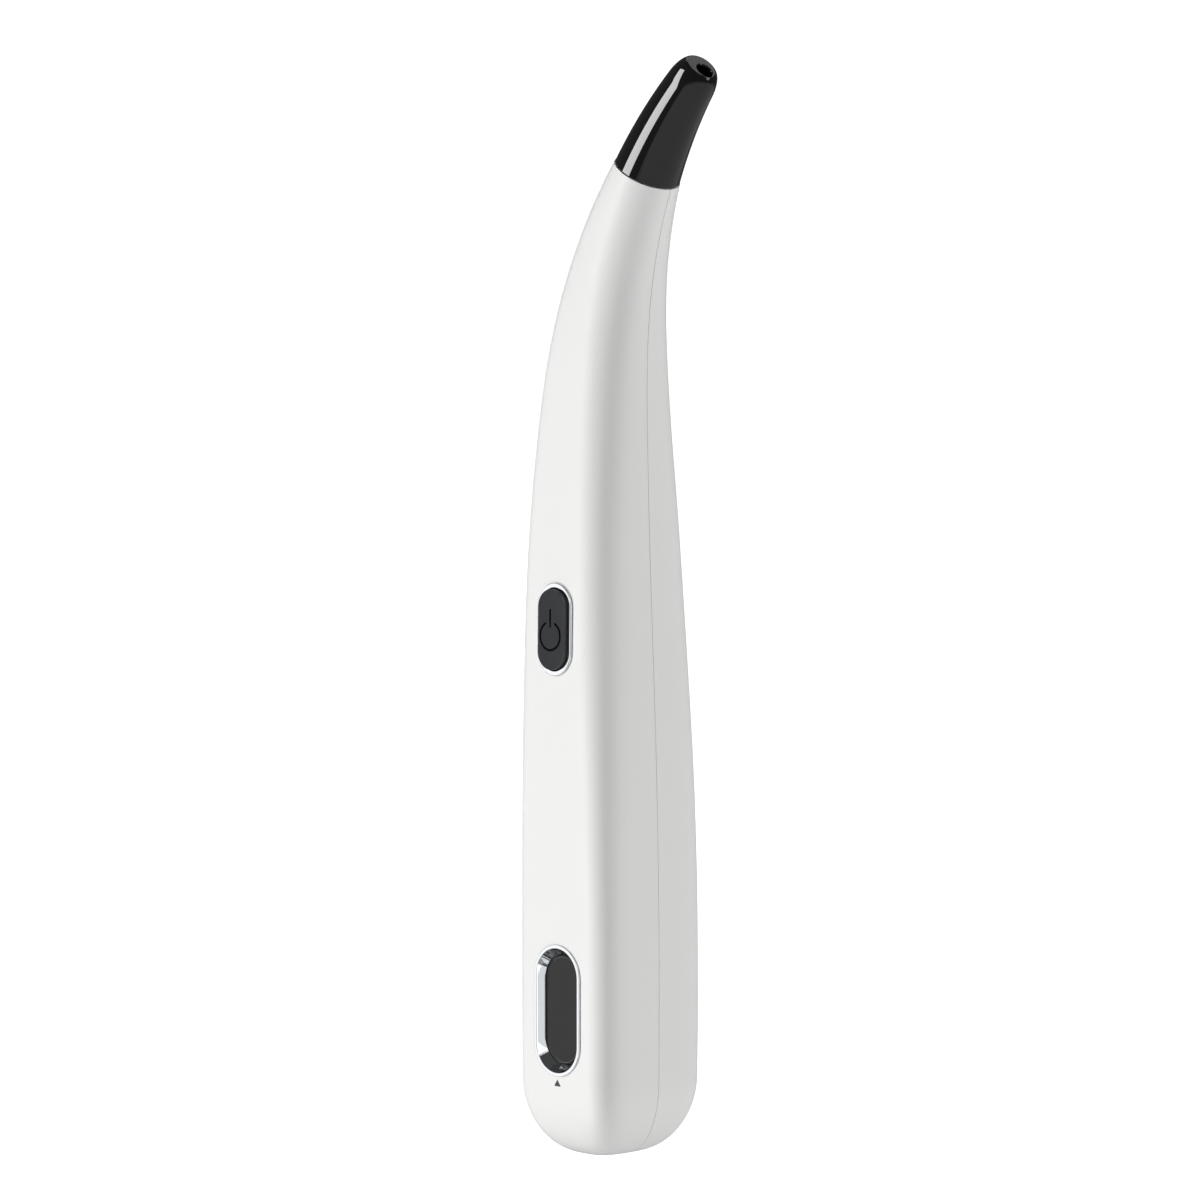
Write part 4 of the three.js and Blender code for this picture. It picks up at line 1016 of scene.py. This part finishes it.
class CURING_OT_display(bpy.types.Operator):
    """Build the chrome bezel, the smoked window behind it and the small printed triangle"""

    bl_idname = "curing_light.display"
    bl_label = "Display"

    def execute(self, context):
        c = controls()
        materials = exterior_materials()
        place = face_frame(c.display_at)
        lip, taper, sleeve = 0.7 * MM, c.bezel_side_taper, 0.35 * MM
        shorter = taper - c.bezel_end_taper
        top, foot, round_edge = 0.3 * MM, -1.8 * MM, 0.12 * MM
        rim, floor_edge = -lip, -lip - taper
        slope = math.degrees(math.atan2(taper, top - foot))
        profile = [
            (floor_edge, foot, shorter), (rim + sleeve, foot), (rim + sleeve, LIP_START), (0, LIP_START),
            *arc_points((-round_edge, top - round_edge), round_edge, 0, 90, 6),
            *arc_points((rim + round_edge, top - round_edge), round_edge, 90, 180 - slope, 6),
            (floor_edge, foot, shorter),
        ]
        bezel = pill("bezel", c.bezel_width, c.bezel_height, profile, materials["chrome_plated_trim"], place,
                     AROUND["display"])
        finish_piece("bezel_display", bezel, "casing", "display_bezel")

        floor_width = c.bezel_width + 2 * floor_edge
        floor_height = c.bezel_height + 2 * (floor_edge + shorter)
        border, gap, rise, edge = 0.6 * MM, 0.22 * MM, 0.5 * MM, 0.3 * MM
        pane_top, pane_foot = foot - 0.1 * MM, foot - 1.1 * MM
        profile = [
            (-floor_width / 2, pane_foot), (border, pane_foot), (border, pane_top), (-gap, pane_top),
            *arc_points((-gap - edge, pane_top + rise - edge), edge, 0, CROWN_FROM),
            (-floor_width * CROWN_MIDWAY, pane_top + rise + 0.02 * MM),
            (-floor_width / 2, pane_top + rise + 0.03 * MM),
        ]
        window = pill("pane", floor_width, floor_height, profile, materials["smoked_acrylic_window"], place,
                      AROUND["display"])
        finish_piece("pane_display", window, "casing", "display_window")
        self.print_mark(materials["pad_printed_grey_ink"])
        return {"FINISHED"}

    def print_mark(self, mark_finish):
        """A thin triangle of ink that points up at the display and follows the shell's face."""
        c = controls()
        at = c.display_at - c.bezel_height / 2 - c.mark_drop
        place = face_frame(at)
        half, tall, thick = c.mark_side / 2, c.mark_side * 0.74, 0.03 * MM
        corners = [(-half, -tall / 2), (half, -tall / 2), (0, tall / 2)]
        bm = bmesh.new()
        foot = [bm.verts.new((x, y, -thick)) for x, y in corners]
        top = [bm.verts.new((x, y, thick)) for x, y in corners]
        bm.faces.new(reversed(foot))
        bm.faces.new(top)
        for i in range(3):
            j = (i + 1) % 3
            bm.faces.new((foot[i], foot[j], top[j], top[i]))
        upright = [e for e in bm.edges if abs(e.verts[0].co.z - e.verts[1].co.z) > thick]
        bmesh.ops.bevel(bm, geom=upright, offset=0.08 * MM, segments=3, affect="EDGES")
        mesh = mesh_from(bm, "mark")
        mesh.materials.append(mark_finish)
        mesh.transform(place)
        finish_piece("mark_triangle", mesh, "casing", None)


class CURING_OT_inner_finishes(bpy.types.Operator):
    """Give every CAD part that stays its procedural finish"""

    bl_idname = "curing_light.inner_finishes"
    bl_label = "Finishes of the inner parts"

    def execute(self, context):
        made = inner_materials()
        for finish, names in INNER_PARTS.items():
            for name in names:
                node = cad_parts[name]
                node.data.materials.clear()
                node.data.materials.append(made[finish])
        return {"FINISHED"}


class CURING_OT_stage(bpy.types.Operator):
    """Build the pale floor, the soft studio lights, the surroundings and the camera"""

    bl_idname = "curing_light.stage"
    bl_label = "Studio"

    def execute(self, context):
        self.make_floor()
        self.make_world(context.scene)
        self.make_camera(context.scene)
        self.make_lights()
        context.scene.view_settings.view_transform = "Standard"
        return {"FINISHED"}

    def make_floor(self):
        bm = bmesh.new()
        bmesh.ops.create_grid(bm, x_segments=8, y_segments=8, size=30)
        mesh = mesh_from(bm, "studio_floor")
        white = list(colours().floor)
        material, tree, shader, place = start_material("pale_vinyl_backdrop", {
            "Roughness": 0.8, "Emission Strength": 1.2, "Emission Color": (*white, 1)})
        tint(tree, shader, noise(tree, place, 0.4, 2.0), shaded(white, 0.98), white)
        mesh.materials.append(material)
        floor = link_mesh("studio_floor", mesh)
        floor.location.z = -0.05 * MM
        floor.visible_diffuse = False
        floor.visible_glossy = False
        floor.visible_transmission = False
        floor.visible_shadow = False

    def make_world(self, scene):
        world = bpy.data.worlds.new("studio_surroundings")
        world.use_nodes = True
        tree = world.node_tree
        tree.nodes.clear()
        place = add_node(tree, "ShaderNodeTexCoord")
        toward = add_node(tree, VECTOR_MATH, "DOT_PRODUCT", {0: place.outputs["Generated"], 1: BRIGHT_SIDE})
        beside = add_node(tree, "ShaderNodeMapRange", None, {
            "Value": toward.outputs["Value"], "From Min": SIDE_EDGE[0], "From Max": SIDE_EDGE[1]})
        parts = add_node(tree, "ShaderNodeSeparateXYZ", None, {0: place.outputs["Generated"]})
        below = add_node(tree, "ShaderNodeMapRange", None, {
            "Value": parts.outputs["Z"], "From Min": LOW_EDGE[0], "From Max": LOW_EDGE[1]})
        both = add_node(tree, MATH, "MULTIPLY", {0: beside, 1: below})
        level = add_node(tree, "ShaderNodeMapRange", None, {
            "Value": both, "To Min": DIM_LEVEL, "To Max": BRIGHT_LEVEL})
        around = add_node(tree, "ShaderNodeBackground", None, {"Strength": level})
        seen = add_node(tree, "ShaderNodeBackground", None, {"Color": (1, 1, 1, 1), "Strength": 1.0})
        path = add_node(tree, "ShaderNodeLightPath")
        mix = add_node(tree, "ShaderNodeMixShader", None, {
            0: path.outputs["Is Camera Ray"], 1: around, 2: seen})
        add_node(tree, "ShaderNodeOutputWorld", None, {"Surface": mix})
        scene.world = world

    def make_camera(self, scene):
        """A long lens, a little above the light and well round to its right."""
        right = Vector((math.cos(CAMERA_TURN), math.sin(CAMERA_TURN), 0))
        level = Vector((-math.sin(CAMERA_TURN), math.cos(CAMERA_TURN), 0))
        forward = level * math.cos(CAMERA_TILT) - Vector((0, 0, math.sin(CAMERA_TILT)))
        up = level * math.sin(CAMERA_TILT) + Vector((0, 0, math.cos(CAMERA_TILT)))
        data = bpy.data.cameras.new("studio_camera")
        data.lens, data.sensor_width = CAMERA_LENS, CAMERA_SENSOR
        data.clip_start, data.clip_end = 0.05, 100
        camera = bpy.data.objects.new("studio_camera", data)
        matrix = Matrix((right, up, -forward)).transposed().to_4x4()
        matrix.translation = right * CAMERA_SLIDE - level * CAMERA_DISTANCE + Vector((0, 0, CAMERA_HEIGHT))
        camera.matrix_world = matrix
        scene.collection.objects.link(camera)
        scene.camera = camera

    def make_lights(self):
        """Each row holds a light's swing and lift from the camera's side and its roll, in degrees, its
        distance, width, height and radiance, whether gloss mirrors it, and the only pieces it reaches."""
        hood, shells, key = ("hood_black",), ("shell_front", "shell_rear"), ("key_power",)
        trim = ("ring_button", "bezel_display")
        rows = (
            ("key_softbox", -72, 0, 0, 1.1, 0.8, 2.0, 3.02, False, ()),
            ("fill_softbox", 74, 0, 0, 1.1, 1.0, 2.0, 2.0, False, ()),
            ("low_softbox", -50, -50, 0, 1.1, 1.2, 1.2, 0.3, False, shells),
            ("top_softbox", 160, 62, 0, 0.9, 0.7, 0.5, 0.6, True, ()),
            ("hood_strip", -77, 10, 0, 1.3, 0.65, 1.5, 7.0, True, hood),
            ("hood_glint", 84, 28, -35, 1.3, 0.25, 1.1, 1.8, True, hood),
            ("edge_strip", -76, -4, 0, 1.3, 0.12, 2.4, 4.0, True, shells),
            ("key_side", 30, 0, 0, 1.3, 0.8, 2.0, 3.0, False, key),
            ("trim_left", -84, -4, 0, 1.3, 1.1, 2.4, 1.33, True, trim),
            ("trim_right", 50, -4, 0, 1.3, 1.7, 2.4, 1.5, True, trim),
            ("trim_high", -8, 34, 0, 1.3, 1.5, 0.7, 1.0, True, trim),
        )
        for name, swing, lift, roll, distance, width, height, radiance, mirrored, only in rows:
            turn, rise = CAMERA_TURN + math.radians(swing), math.radians(lift)
            out = Vector((math.sin(turn) * math.cos(rise), -math.cos(turn) * math.cos(rise), math.sin(rise)))
            data = bpy.data.lights.new(name, "AREA")
            data.shape, data.size, data.size_y = "RECTANGLE", width, height
            data.energy = radiance * width * height * math.pi
            light = bpy.data.objects.new(name, data)
            light.rotation_mode = "QUATERNION"
            rolled = Quaternion((0, 0, 1), math.radians(roll))
            light.rotation_quaternion = out.to_track_quat("Z", "Y") @ rolled
            light.location = Vector(LIGHTS_AIM) + out * distance
            light.visible_camera = False
            light.visible_glossy = mirrored
            bpy.context.scene.collection.objects.link(light)
            if only:
                lit = bpy.data.collections.new(name + "_pieces")
                for piece in only:
                    lit.objects.link(bpy.data.objects[piece])
                light.light_linking.receiver_collection = lit


class CURING_PT_panel(bpy.types.Panel):
    """Lists the settings and the pieces of the curing light"""

    bl_idname = "CURING_PT_panel"
    bl_label = "Curing light"
    bl_space_type = "VIEW_3D"
    bl_region_type = "UI"
    bl_category = "Curing Light"

    def draw(self, context):
        layout = self.layout
        for group in (sizes(), controls(), colours()):
            box = layout.box()
            for key in group.bl_rna.properties.keys():
                if key not in ("rna_type", "name"):
                    box.prop(group, key)
        for step in STEPS:
            layout.operator(step.bl_idname)


STEPS = (
    CURING_OT_shells,
    CURING_OT_hood,
    CURING_OT_button,
    CURING_OT_display,
    CURING_OT_inner_finishes,
    CURING_OT_stage,
)
GROUPS = (("wand_sizes", WandSizes), ("control_sizes", ControlSizes), ("finish_colours", FinishColours))


def register():
    for name, group in GROUPS:
        bpy.utils.register_class(group)
        setattr(bpy.types.Scene, name, PointerProperty(type=group))
    for made in (*STEPS, CURING_PT_panel):
        bpy.utils.register_class(made)


def unregister():
    for made in (CURING_PT_panel, *reversed(STEPS)):
        bpy.utils.unregister_class(made)
    for name, group in reversed(GROUPS):
        delattr(bpy.types.Scene, name)
        bpy.utils.unregister_class(group)


def main():
    register()
    spine_points.cached = spine_points()
    for step in STEPS:
        family, name = step.bl_idname.split(".")
        getattr(getattr(bpy.ops, family), name)()


if __name__ == "__main__":
    main()
